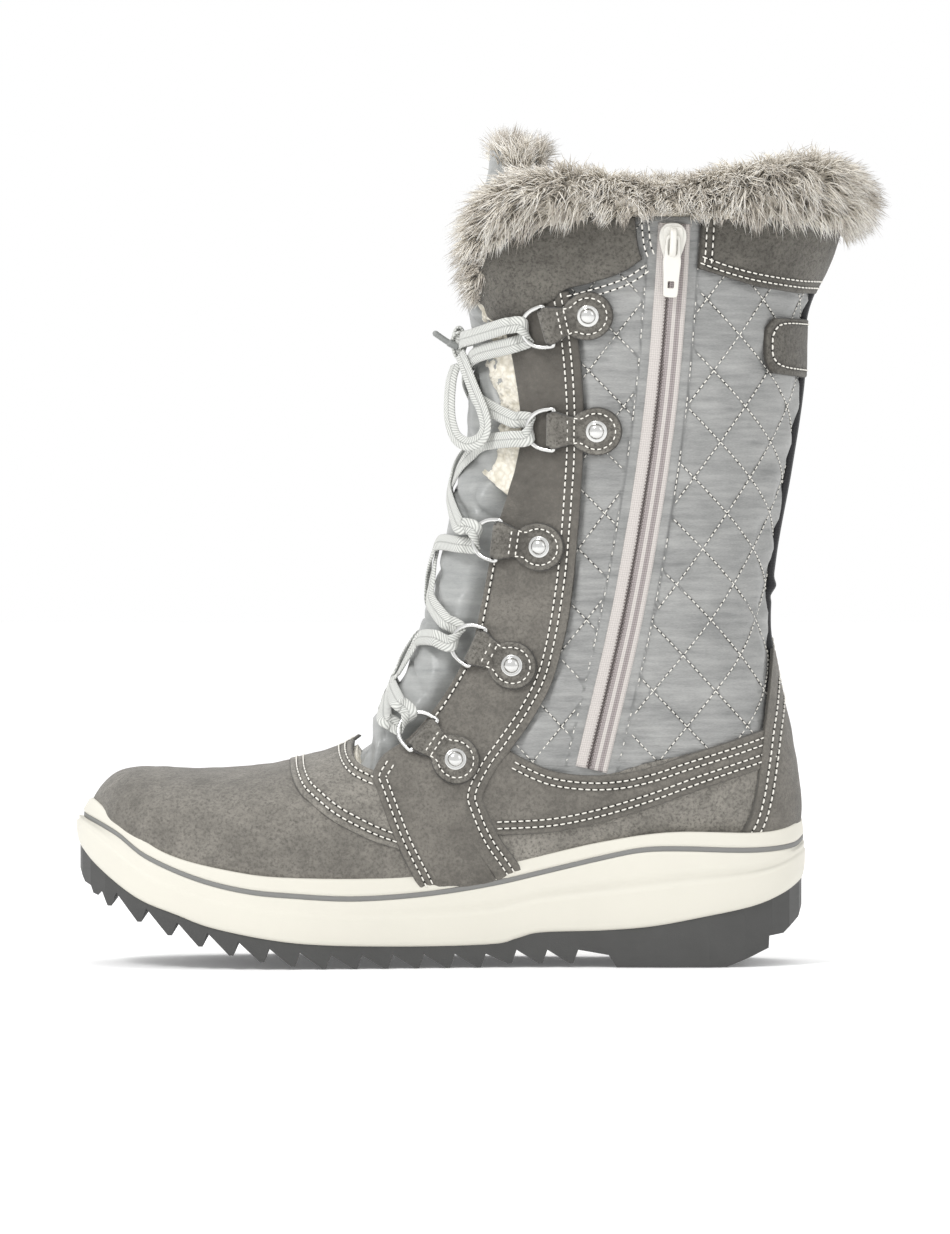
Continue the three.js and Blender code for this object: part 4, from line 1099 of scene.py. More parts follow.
@dataclass
class Lacing:
    """One flat lace, run through ten rings, with a bow at the top."""

    finish: Finishes
    width: float = 6.3
    thick: float = 1.25
    wire: float = 0.95
    ring_half: float = 7.8
    ring_depth: float = 10.6
    ring_height: float = 4.8
    lift: float = 4.2

    def ring_seat(self, index: int, side: Side) -> Seat:
        """Axes at the bar of a ring."""
        rx, rz, bx, bz = STATIONS[index]
        return Seat.on(bx, bz, side, self.ring_height, 2 * bx - rx, 2 * bz - rz)

    def wrap(self, index: int, side: Side, sign: int, down: bool) -> tuple[list[Array], list[Array]]:
        """Way of the lace round a ring's wire.

        The lace comes over the wire, turns behind it and leaves under it, half a turn in all.

        Args:
            index: the ring, from 0 at the top.
            side: its side.
            sign: which face of the lace is outwards on the way in.
            down: whether the lace goes from the ring's upper to its lower half.

        Returns:
            Points and the lace's normals.
        """
        seat = self.ring_seat(index, side)
        up = -side.value * (1 if down else -1)
        turn = self.wire + self.thick / 2 + 0.1
        bent = 0.75 * turn
        steps = [(7.0, 3.9, 1.1, 90), (3.2, 3.7, 1.5, 90), (0.0, 3.4, turn, 90), (-bent, 1.9, bent, 135),
                 (-turn, 0.0, 0.0, 180), (-bent, -1.9, -bent, 225), (0.0, -3.4, -turn, 270),
                 (3.2, -3.7, -1.5, 270), (7.0, -3.9, -1.0, 270)]
        points, normals = [], []
        for a, b, c, angle in steps:
            points.append(seat.at(self.ring_depth + a, up * b, c))
            face = math.radians(angle)
            normals.append(sign * (seat.forward * math.cos(face) + seat.out * math.sin(face)))
        return points, normals

    def crossing(self, start: tuple[int, Side], end: tuple[int, Side], crest: float, rise: float,
                 sign: int) -> tuple[list[Array], list[Array]]:
        """Way of the lace over the tongue between two rings."""
        tips = []
        for index, side in (start, end):
            seat = self.ring_seat(index, side)
            tip = seat.at(self.ring_depth + 7, 0, 0)
            spot = LAST.locate([[tip[0], tip[2]]])[0]
            tips.append([spot[0], spot[1] * side.value])
        t = np.array([0.2, 0.35, 0.5, 0.65, 0.8])
        hump = np.sin(np.pi * t)
        s = tips[0][0] + (tips[1][0] - tips[0][0]) * t + crest * hump
        phi = tips[0][1] + (tips[1][1] - tips[0][1]) * t
        points = LAST.at(s, phi, self.lift + rise * hump**2)
        normals = sign * LAST.normal(s, phi)
        return list(points), list(normals)

    def route(self) -> tuple[Array, Array]:
        """The lace's whole way from the knot down to the lowest rings and back up."""
        knot = np.array([87.6, 3.4, 238.6])
        points = [knot, np.array([86.8, 9.5, 239.5]), np.array([83.0, 18.0, 240.5])]
        normals = [np.array([1.0, 0.2, 0.1]), np.array([0.9, 0.5, 0.1]), np.array([0.75, 0.75, 0.1])]
        sign = 1
        order = [(0, 1), (1, -1), (2, 1), (3, -1), (4, 1), (4, -1), (3, 1), (2, -1), (1, 1), (0, -1)]
        for k, (index, value) in enumerate(order):
            side = Side(value)
            extra = self.wrap(index, side, sign, k < 5)
            points += extra[0]
            normals += extra[1]
            sign = -sign
            if k + 1 < len(order):
                following = (order[k + 1][0], Side(order[k + 1][1]))
                bar = order[k + 1][0] == index
                top = min(index, order[k + 1][0])
                crest = 0.3 if bar else (-0.25 if top == 0 else 0.0)
                over = 1.2 if k < 4 else (0.4 if bar else -0.7)
                extra = self.crossing((index, side), following, crest, over, sign)
                points += extra[0]
                normals += extra[1]
        for p, n in (([83.0, -18.0, 240.5], [0.75, -0.75, 0.1]), ([86.8, -9.5, 239.5], [0.9, -0.5, 0.1]),
                     ([87.6, -3.4, 238.6], [1.0, -0.2, 0.1])):
            points.append(np.array(p))
            normals.append(sign * np.array(n))
        return np.array(points), unit(np.array(normals))

    def ribbon(self, points: Array, normals: Array, width: float, steps: int) -> Shape:
        """Lace of rounded flat section along points."""
        both = rail(np.hstack([points, normals * 12]), steps)
        return hose(both[:, :3], 1.0, unit(both[:, 3:]), oval(width / 2, self.thick / 2, 12, 3.0), marks=True)

    def loop(self, side: Side) -> bpy.types.Object:
        """One hanging loop of the bow."""
        points = np.array([
            [87.6, 7.8, 234], [85.8, 13.5, 229], [82.8, 20.5, 221], [79.3, 26.5, 212.5], [78, 28.5, 206],
            [80, 28, 201.3], [84.7, 25.5, 199.4], [89.2, 22, 202], [91.5, 18.5, 208.5], [91.8, 14.5, 216.5],
            [91, 10, 224.5], [89.3, 6, 229.8],
        ]) * [1, side.value, 1]
        face = np.tile([0.62, 0.78 * side.value, 0.0], (len(points), 1))
        width = 5.4
        shape = self.ribbon(points, face, width, 130)
        obj = shape.piece(f"bow_loop_{side.word}", self.finish.lace, "lace",
                          replaces=[f"lace_loop_{side.word}"])
        path = rail(points, 40)
        self.soft.append((obj, path, width, side))
        return obj

    def tag(self, side: Side) -> bpy.types.Object:
        """One lace end with its rolled tag, beside the knot."""
        middle = np.array([[88.5, 2.0, 236.6], [91, 2.4, 237.8], [93.5, 3, 239.3], [98, 4.2, 242.4]])
        path = rail(middle * [1, side.value, 1], 30)
        radii = np.where(np.linspace(0, 1, 30) > 0.35, 1.0, 1.25)
        radii[-2:] = [0.85, 0.5]
        shape = hose(path, radii, np.tile([0.0, 0.0, 1.0], (30, 1)), oval(1.25, 1.15, 12))
        return shape.piece(f"bow_tag_{side.word}", self.finish.tag, "lace_tag",
                           replaces=[f"lace_tip_{side.word}"])

    def knot(self) -> bpy.types.Object:
        """The bow's middle: a rounded turn of lace wrapped tightly over the other."""
        turn = np.linspace(0, 2 * np.pi, 60, endpoint=False)
        shapes = []
        for tilt, size, lift in ((0.0, (2.3, 6.0), 0.0), (0.5, (2.7, 3.9), 0.0)):
            x, z = size[0] * np.cos(turn), size[1] * np.sin(turn)
            path = np.stack([88.2 + x, math.sin(tilt) * z * 0.8 + lift, 238.3 + z], -1)
            out = unit(np.stack([np.cos(turn) / size[0], 0 * turn, np.sin(turn) / size[1]], -1))
            shapes.append(hose(path, 1.0, out, oval(2.5, 0.65, 14, 3.0), closed=True, marks=True))
        core_t = np.linspace(-1, 1, 13)
        radius = np.sqrt(1 - 0.96 * core_t**2)
        path = np.stack([np.full(13, 88.2), 0 * core_t, 238.3 + 5.4 * core_t], -1)
        shapes.append(hose(path, radius, np.tile([1.0, 0, 0], (13, 1)), oval(3.2, 2.1, 16), marks=True))
        return Shape.joined(shapes).piece("bow_knot", self.finish.lace, "lace", replaces=["lace_knot"])

    def build(self) -> None:
        """Makes the lace and the bow."""
        self.soft: list = []
        points, normals = self.route()
        run = self.ribbon(points, normals, self.width, 1500)
        run.piece("lace_run", self.finish.lace, "lace",
                  replaces=["lace_bar", "lace_top"] + [f"lace_cross_{i}" for i in range(1, 5)])
        knot = self.knot()
        for side in Side:
            self.loop(side)
        tags = {side: self.tag(side) for side in Side}
        for obj, path, width, side in self.soft:
            length = float(lengths(path)[-1]) * MM
            log.info("%s is %.1f mm of lace", obj.name, length / MM)
            held = [tags[side]] + ([knot] if side is Side.MEDIAL else [])


# ------------------------------------------------------------------------ sole
@dataclass
class Sole:
    """Foam midsole with its stripe, over a lugged rubber outsole."""

    finish: Finishes
    around: int = 320

    def outline(self, inset: Array | float) -> Array:
        """Closed outline of the sole, moved in by inset; rows of PLAN by Catmull-Rom."""
        half = self.around // 2
        end = len(PLAN) - 1

        def line(t: Array, column: int) -> Array:
            """One edge of the sole at fractional rows t, with the other edge as its neighbour."""
            first, last = PLAN[1, [0, 3 - column]], PLAN[-2, [0, 3 - column]]
            edge = np.vstack([first, PLAN[:, [0, column]], last])
            i = np.clip(np.floor(t).astype(int), 0, end - 1)
            return between(*(edge[i + k] for k in range(4)), (t - i)[:, None])

        t = np.linspace(0, end, half, endpoint=False)
        loop = np.vstack([line(t, 1), line(end - t, 2)])
        loop = rail(loop, self.around, closed=True)
        way = unit(np.roll(loop, -1, 0) - np.roll(loop, 1, 0))
        inward = np.stack([way[:, 1], -way[:, 0]], -1)
        return loop + inward * np.asarray(inset, float).reshape(-1, 1)

    def body(self, levels: Sequence[tuple[Callable, Callable]]) -> Shape:
        """Ring swept round the sole through levels of inset and height, both functions of x."""
        x = self.outline(0.0)[:, 0]
        flats = [self.outline(inset(x)) for inset, _ in levels]
        grid = np.array([np.column_stack([flat, height(flat[:, 0])])
                         for flat, (_, height) in zip(flats, levels)])
        count, cols = grid.shape[:2]
        faces = [weave(count, cols, 0, True), closing(count, cols)]
        return Shape(grid.reshape(-1, 3), faces).turned_out()

    def midsole(self) -> None:
        """Foam wall with a rolled lip, a shallow crease and a tucked lower edge."""
        bite = lambda x: at_rail(BITE, x)
        part = lambda x: at_rail(PARTING, x)
        lean = lambda x: 1.2 + 4.6 * smooth((x - 196) / 34)
        stripe = lambda x: at_rail(PINSTRIPE, x)
        crease = lambda x: np.interp(x, [-50, -30, 40, 90, 150, 240], [0, 0.9, 0.9, 0.5, 0, 0])
        mix = lambda f: (lambda x: part(x) + (bite(x) - part(x)) * f)
        over = lambda line, rise: (lambda x: line(x) + rise)
        edge = lambda rise, deep: (lambda x: np.minimum(stripe(x) + rise, bite(x) - deep))
        wall = lambda share, inset, pinch=0.0: (lambda x: lean(x) * share + inset + crease(x) * pinch)
        foot = ((12.0, 1.0), (2.2, 0.1), (0.9, -0.2), (0.45, 0.5), (0.2, 1.6))
        groove = ((-2.2, 0.0), (-1.2, 0.05), (-0.95, 0.45), (0.95, 0.45), (1.2, 0.05), (2.2, 0.0))
        lip = ((0.72, 0.0, -1.1), (0.8, 0.0, -0.2), (0.95, 0.0, 0.5), (1.0, 0.8, 0.75), (1.0, 2.0, 0.2),
               (1.0, 3.2, -1.4), (1.0, 8.0, -9.0))
        levels = [(wall(0, inset), over(part, rise)) for inset, rise in foot]
        levels += [(wall(0, 0.1 - 0.25 * math.sin(math.pi * f)), mix(f)) for f in (0.16, 0.28, 0.38, 0.44)]
        levels += [(wall(0, 0.1, 1.0), mix(0.475))]
        levels += [(wall(0.2 * f, 0.15), mix(f)) for f in (0.52, 0.6)]
        levels += [(wall(0.45, inset), edge(rise, 1.2)) for rise, inset in groove]
        levels += [(wall(share, inset), over(bite, rise)) for share, inset, rise in lip]
        levels += [(wall(0, 14.0), over(part, 5.0))]
        self.body(levels).piece("midsole_foam", self.finish.foam, "midsole_foam", replaces=["midsole"])
        proud = ((1.4, -0.9), (0.18, -0.92), (0.05, -0.6), (0.05, 0.6), (0.18, 0.92), (1.4, 0.9))
        band = [(wall(0.45, inset), edge(rise, 1.3)) for inset, rise in proud]
        self.body(band).piece("midsole_stripe", self.finish.stripe, "midsole_foam")

    def build(self) -> None:
        """Makes the foam and dresses the rubber."""
        self.midsole()
        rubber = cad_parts["outsole"]
        rubber.data.materials.clear()
        rubber.data.materials.append(self.finish.rubber)


# ------------------------------------------------------------------------ suede panels
def cup(x: Array) -> Array:
    """Height of a panel's lower edge, hidden 3 mm inside the midsole."""
    return at_rail(BITE, x) - 3


def to_skin(points: Rows | Array, count: int, ease: float = 0.0) -> Array:
    """Side-view line as sections and angles on the inner side, in even steps of its length."""
    return LAST.locate(rail(points, count, ease))


def fill(low: Array, high: Array, front: Array, rear: Array) -> Array:
    """Grid between four lines: each pair is blended and the corners are taken off once."""
    u = np.linspace(0, 1, len(low))[None, :, None]
    v = np.linspace(0, 1, len(front))[:, None, None]
    corners = ((1 - u) * (1 - v) * low[0] + u * (1 - v) * low[-1]
               + (1 - u) * v * high[0] + u * v * high[-1])
    return (1 - v) * low + v * high + (1 - u) * front[:, None] + u * rear[:, None] - corners


def patch(side: Side, low: Rows | Array, high: Rows | Array, front: Rows | Array, rear: Rows | Array,
          cols: tuple[int, float], rows: tuple[int, float]) -> Array:
    """Grid on one side between four side-view lines.

    Args:
        side: the boot's side.
        low: lower line, from front to rear.
        high: upper line, from front to rear.
        front: front line, from low to high.
        rear: rear line, from low to high.
        cols: points along low and high, and how far they crowd towards the ends.
        rows: the same for front and rear.

    Returns:
        Sections and angles.
    """
    lines = [to_skin(line, *cols) for line in (low, high)] + [to_skin(line, *rows) for line in (front, rear)]
    return fill(*lines) * [1, side.value]


@dataclass
class Panel:
    """A suede panel with rounded edges, on a grid of sections and angles."""

    grid: Array
    top: float
    thick: float = 1.4
    roll: float = 1.1
    tone: float = 0.0
    tone_high: float = 0.0

    def shape(self, seams: Array | None = None, swell: Array | float = 0.0) -> Shape:
        """The panel's closed sheet.

        Its face falls in a quarter round towards every edge, dips along its stitch rows, and
        its underside lies flat on what is below.

        Args:
            seams: points of its stitch rows, to dip and shade the face there.
            swell: extra height of the face.

        Returns:
            The sheet, with marks for its rim and its seams.
        """
        s, phi = self.grid[..., 0], self.grid[..., 1]
        skin = LAST.skin(s, phi)
        down, over = lengths(skin, 0), lengths(skin, 1)
        edge = np.minimum(np.minimum(down, down[-1:] - down), np.minimum(over, over[:, -1:] - over))
        roll = np.clip(edge / self.roll, 0, 1)
        face = self.top - self.thick * 0.62 * (1 - np.sqrt(1 - (1 - roll) ** 2))
        near = np.full(s.shape, 9.0)
        if seams is not None and len(seams):
            flat = skin.reshape(-1, 3)
            parts = [np.sqrt(((flat[k: k + 2000, None] - seams[None]) ** 2).sum(-1)).min(1)
                     for k in range(0, len(flat), 2000)]
            near = np.concatenate(parts).reshape(s.shape)
        dip = np.exp(-((near / 0.9) ** 2)) * np.clip(edge / 1.2, 0, 1)
        grain = ripple(skin, 26, 11) * 0.12 + ripple(skin, 9, 12) * 0.05
        face = face - 0.28 * dip + swell + grain * np.clip(edge / 3, 0, 1)
        # Tone darkens the panel, more above about 130 mm; on the heel counter it is painted shade for the
        # shadow at the back.
        tone = self.tone + (self.tone_high - self.tone) * smooth((skin[..., 2] - 130) / 70)
        shade = np.exp(-((near / 0.75) ** 2)) * 0.8
        marks = {"rim": np.clip(1 - edge / 0.55, 0, 1), "seam": shade, "tone": tone}
        return slab(LAST.at(s, phi, face), LAST.at(s, phi, self.top - self.thick), marks)


@dataclass
class Upper:
    """Suede panels over the shaft, with their stitching."""

    finish: Finishes
    seam: Seam = field(default_factory=Seam)

    def row(self, points: Rows | Array, side: Side, height: float) -> tuple[Array, Array]:
        """A stitch row under side-view points."""
        line = rail(points, 260)
        return on_side(line, side, height + 0.1)

    def twins(self, points: Rows, offsets: tuple[float, float], height: float) -> Stitches:
        """Two parallel rows on both sides of the boot."""
        fine = rail(points, 120)
        return [self.row(aside(fine, d), side, height) for side in Side for d in offsets]

    def sew(self, name: str, rows: Stitches, slot: str = "suede",
            seam: Seam | None = None) -> None:
        """Makes the stitches of some rows as one piece, and the painted shadow of their needle holes as
        another.
        """
        seam = seam or self.seam
        seam.sewn(rows).piece(name, self.finish.thread, slot)
        # dark lids painting the shadow in the needle holes
        seam.holes(rows).piece(name.replace("stitches", "needle_holes"), self.finish.hole, slot)

    def cut(self, name: str, panel: Panel, rows: Stitches, nodes: Sequence[str] = (),
            dark: bool = False) -> None:
        """Makes a panel that dips along its stitch rows.

        Args:
            name: the piece's name.
            panel: the panel.
            rows: its stitch rows, which are moved down to the bare last for the dips.
            nodes: frame nodes that it stands for.
            dark: whether it is of the collar's darker suede.
        """
        seams = [path - normals * (panel.top + 0.1) for path, normals in rows]
        shape = panel.shape(np.vstack(seams)[::2] if seams else None)
        if dark:
            shape.piece(name, self.finish.suede_dark, "suede_dark", replaces=nodes)
        else:
            shape.piece(name, self.finish.suede, "suede", replaces=nodes)

    def vamp(self) -> None:
        """Toe panel: from the toe over the forefoot to the saddle's seam."""
        start = float(LAST.rise(np.array(0.0), cup, 0.2, 2.0))
        seam = to_skin(aside(rail(SADDLE_SEAM, 60), -3.0), 90)
        share = seam[:, 1] / np.maximum(LAST.fall(seam[:, 0], cup), 1e-3)
        v = np.linspace(-1, 1, 89)
        order = np.argsort(share)
        stop = np.interp(np.abs(v), share[order], seam[order, 0])
        t = (np.linspace(0, 1, 76) ** 1.5)[:, None]
        s = start + (stop[None] - start) * t
        phi = v[None] * LAST.fall(s, cup)
        skin = LAST.skin(s, phi)
        flex = np.exp(-(((skin[..., 0] - 150) / 14) ** 2)) * ripple(skin * [1, 0.25, 1], 9, 31) * 0.12
        panel = Panel(np.stack([s, phi], -1), 1.5, tone=0.35)
        panel.shape(swell=flex).piece("vamp_panel", self.finish.suede, "suede", replaces=["vamp"], weld=True)

    def saddle(self) -> None:
        """Panel over the instep, with the U-shaped cut for the tongue."""
        v = np.linspace(-1, 1, 117)
        edges = []
        back = [[125.2, 87.0], [127.6, 84.5], [128.2, 80.5], [126.6, 77.2], [123.4, 75.3], [118.6, 73.4],
                [111, 66], [104, 54], [97, 44], [90, 36]]
        for line in (SADDLE_SEAM, back):
            spot = to_skin(line, 120)
            share = spot[:, 1] / np.maximum(LAST.fall(spot[:, 0], cup), 1e-3)
            order = np.argsort(share)
            edges.append(np.interp(np.abs(v), share[order], spot[order, 0]))
        t = np.linspace(0, 1, 40)
        t = (0.75 * t + 0.25 * smooth(t))[:, None]
        s = edges[0][None] + (edges[1] - edges[0])[None] * t
        phi = v[None] * LAST.fall(s, cup)
        rows = self.twins(SADDLE_SEAM[:-1], (-2.7, -5.4), 2.3)
        cut = rail(back[:6], 60)
        rows += [self.row(aside(cut, d), side, 2.3) for side in Side for d in (2.6, 5.1)]
        self.cut("saddle_panel", Panel(np.stack([s, phi], -1), 2.3), rows, ["saddle"])
        self.sew("saddle_stitches", rows)

    def eyestay(self, side: Side) -> Stitches:
        """Long panel beside the throat, which carries the rings."""
        front = STAY_FRONT + THROAT[6:-3] + [[73.5, 250.5]]
        rear = STAY_REAR
        low = [front[0], rear[0]]
        high = [front[-1], [60, 257], rear[-1]]
        grid = patch(side, low, high, front, rear, (30, 0.9), (150, 0.0))
        back = rail(rear, 200)[12:]
        rows = [self.row(aside(back, d), side, 3.0) for d in (-3.0, -5.7)]
        lower = rail(STAY_FRONT[1:], 60)
        rows += [self.row(aside(lower, d), side, 3.0) for d in (2.7, 5.2)]
        single = rail(THROAT[6:12], 80)
        rows.append(self.row(aside(single, 2.0)[4:-4], side, 3.0))
        self.cut(f"eyestay_panel_{side.word}", Panel(grid, 3.0, tone=0.6, tone_high=1.0), rows,
                 [f"eyestay_{side.word}"])
        return rows

    def quarter(self, side: Side) -> Stitches:
        """Lower side panel, with the band that lies over its upper part."""
        x = np.linspace(64, -20, 30)
        low = np.column_stack([x, cup(x)])
        front = [low[0], [71, 40], [80, 52], [83, 64], [82, 76], BAND_TOP[0]]
        rear = [low[-1], [-23.5, 56], [-27.5, 68], [-30.5, 80], BAND_TOP[-1]]
        grid = patch(side, low, BAND_TOP, front, rear, (84, 0.0), (34, 0.5))
        self.cut(f"quarter_panel_{side.word}", Panel(grid, 1.35, 1.2), [], [f"quarter_{side.word}"])
        front = [BAND_LOW[0], [84, 62], [82, 76], BAND_TOP[0]]
        rear = [BAND_LOW[-1], BAND_TOP[-1]]
        grid = patch(side, BAND_LOW, BAND_TOP, front, rear, (110, 0.0), (24, 0.8))
        top, low_line = rail(BAND_TOP, 150)[16:], rail(BAND_LOW, 150)[10:]
        rows = [self.row(aside(top, d), side, 2.3) for d in (2.8, 5.3)]
        rows += [self.row(aside(low_line, d), side, 2.3) for d in (-2.6, -5.1)]
        self.cut(f"quarter_band_{side.word}", Panel(grid, 2.3, 1.2, tone=0.6, tone_high=0.6), rows)
        return rows

    def wrapped(self, front: Rows, low: Callable, high: Callable, cols: int, rows: int,
                far: Rows | None = None) -> Array:
        """Grid round the back, from a line on the inner side to one on the outer side.

        Args:
            front: side-view line of the inner edge, from its low to its high end.
            low: height of the lower edge at x.
            high: height of the upper edge at x.
            cols: points round the back.
            rows: points up.
            far: the outer edge, where it differs.

        Returns:
            Sections and angles, with angles from the inner side round to the outer.
        """
        near = to_skin(front, rows, 0.8)
        other = to_skin(far or front, rows, 0.8) * [1, -1] + [0, 2 * math.pi]
        edges = []
        for height, row in ((low, 0), (high, -1)):
            phi = np.linspace(near[row, 1], other[row, 1], cols)
            edges.append(np.column_stack([LAST.rise(phi, height, HEEL_SECTION, LAST.end), phi]))
            edges[-1][0], edges[-1][-1] = near[row], other[row]
        return fill(edges[0], edges[1], near, other)

    def counter(self) -> None:
        """Heel counter round the back, with its twin rows."""
        grid = self.wrapped(COUNTER_FRONT, cup, level(120.6), 110, 56)
        rows = self.twins(COUNTER_FRONT, (2.9, 5.6), 2.9)
        # Its tone of 0.6 is painted shade for the shadow at the back of the heel.
        self.cut("heel_counter_panel", Panel(grid, 2.9, tone=0.6, tone_high=0.6), rows, ["heel_counter"])
        self.sew("heel_counter_stitches", rows)

    def rear_tab(self) -> None:
        """Pull tab of suede, wrapped round the back under the fur."""
        line = [[-29.0, 226.6], [-26.8, 231], [-26.4, 237], [-27.0, 243.5], [-30, 247.6]]
        low = lambda x: 226.6 - np.clip((-29 - x) / 12, 0, 1) * 1.6
        grid = self.wrapped(line, low, level(247.6), 60, 24)
        ring = [[-45, 245.6], [-33, 245.4], [-29.4, 241.5], [-29.0, 237], [-29.4, 232.5], [-33, 229.2],
                [-43, 227.6]]
        rows = [self.row(ring, side, 3.4) for side in Side]
        self.cut("rear_tab_patch", Panel(grid, 3.4), rows, ["rear_tab"], dark=True)
        self.sew("rear_tab_stitches", rows, "suede_dark")

    def collars(self) -> None:
        """Dark patches under the fur: a front one on each side and a rear one round the back."""
        rows = []
        for side in Side:
            front = [COLLAR_LOW_FRONT[0], [81.5, 262], [82.5, 270], [78, 280], [76, 284]]
            low = COLLAR_LOW_FRONT
            rear = [low[-1], [20.2, 275], [21.2, COLLAR_TOP]]
            if side is Side.LATERAL:
                low = low[:-1] + [[14, 266.5], [5, 266.6]]
                rear = [[5, 266.6], [5, 275], [5, COLLAR_TOP]]
            high = [[76, 284], [60, COLLAR_TOP], [40, COLLAR_TOP], rear[-1]]
            grid = patch(side, low, high, front, rear, (84, 0.4), (32, 0.6))
            lines = rail(low[5:], 80)
            mine = [self.row(aside(lines, d), side, 3.7) for d in (2.4, 4.9)]
            if side is Side.MEDIAL:
                mine += [self.row(aside(rail(rear, 40), d), side, 3.7) for d in (2.2, 4.7)]
            node = "collar_medial" if side is Side.MEDIAL else "collar_rear"
            self.cut(f"collar_patch_{side.word}", Panel(grid, 3.7), mine, [node], dark=True)
            rows += mine
        low = lambda x: np.interp(x, [-60, -39.3, -23.9, -1.8], [258.4, 257.6, 259.5, 266.2])
        near = [[-1.8, 266.2], [-2.6, 275], [-3.2, COLLAR_TOP]]
        far = [[5, 266.6], [5, 275], [5, COLLAR_TOP]]
        grid = self.wrapped(near, low, level(COLLAR_TOP), 110, 28, far)
        back_line = rail([[-1.8, 266.2], [-12, 262.6], [-23.9, 259.7], [-39.3, 257.9], [-50, 258.2]], 90)
        mine = [self.row(aside(back_line, d), Side.MEDIAL, 3.1) for d in (-2.4, -4.9)]
        mine += [self.row(aside(rail(near, 40)[4:], d), Side.MEDIAL, 3.1) for d in (2.4, 4.9)]
        outer_line = rail([[4, 266.6], [-8, 264.4], [-23.9, 259.9], [-39.3, 258.0], [-50, 258.2]], 90)
        mine += [self.row(aside(outer_line, d), Side.LATERAL, 3.1) for d in (-2.4, -4.9)]
        self.cut("collar_patch_rear", Panel(grid, 3.1), mine, dark=True)
        self.sew("collar_stitches", rows + mine, "suede_dark")

    def build(self) -> None:
        """Makes every panel."""
        self.vamp()
        self.saddle()
        stay_rows, band_rows = [], []
        for side in Side:
            stay_rows += self.eyestay(side)
            band_rows += self.quarter(side)
        self.sew("eyestay_stitches", stay_rows)
        self.sew("quarter_stitches", band_rows)
        self.counter()
        self.rear_tab()
        self.collars()


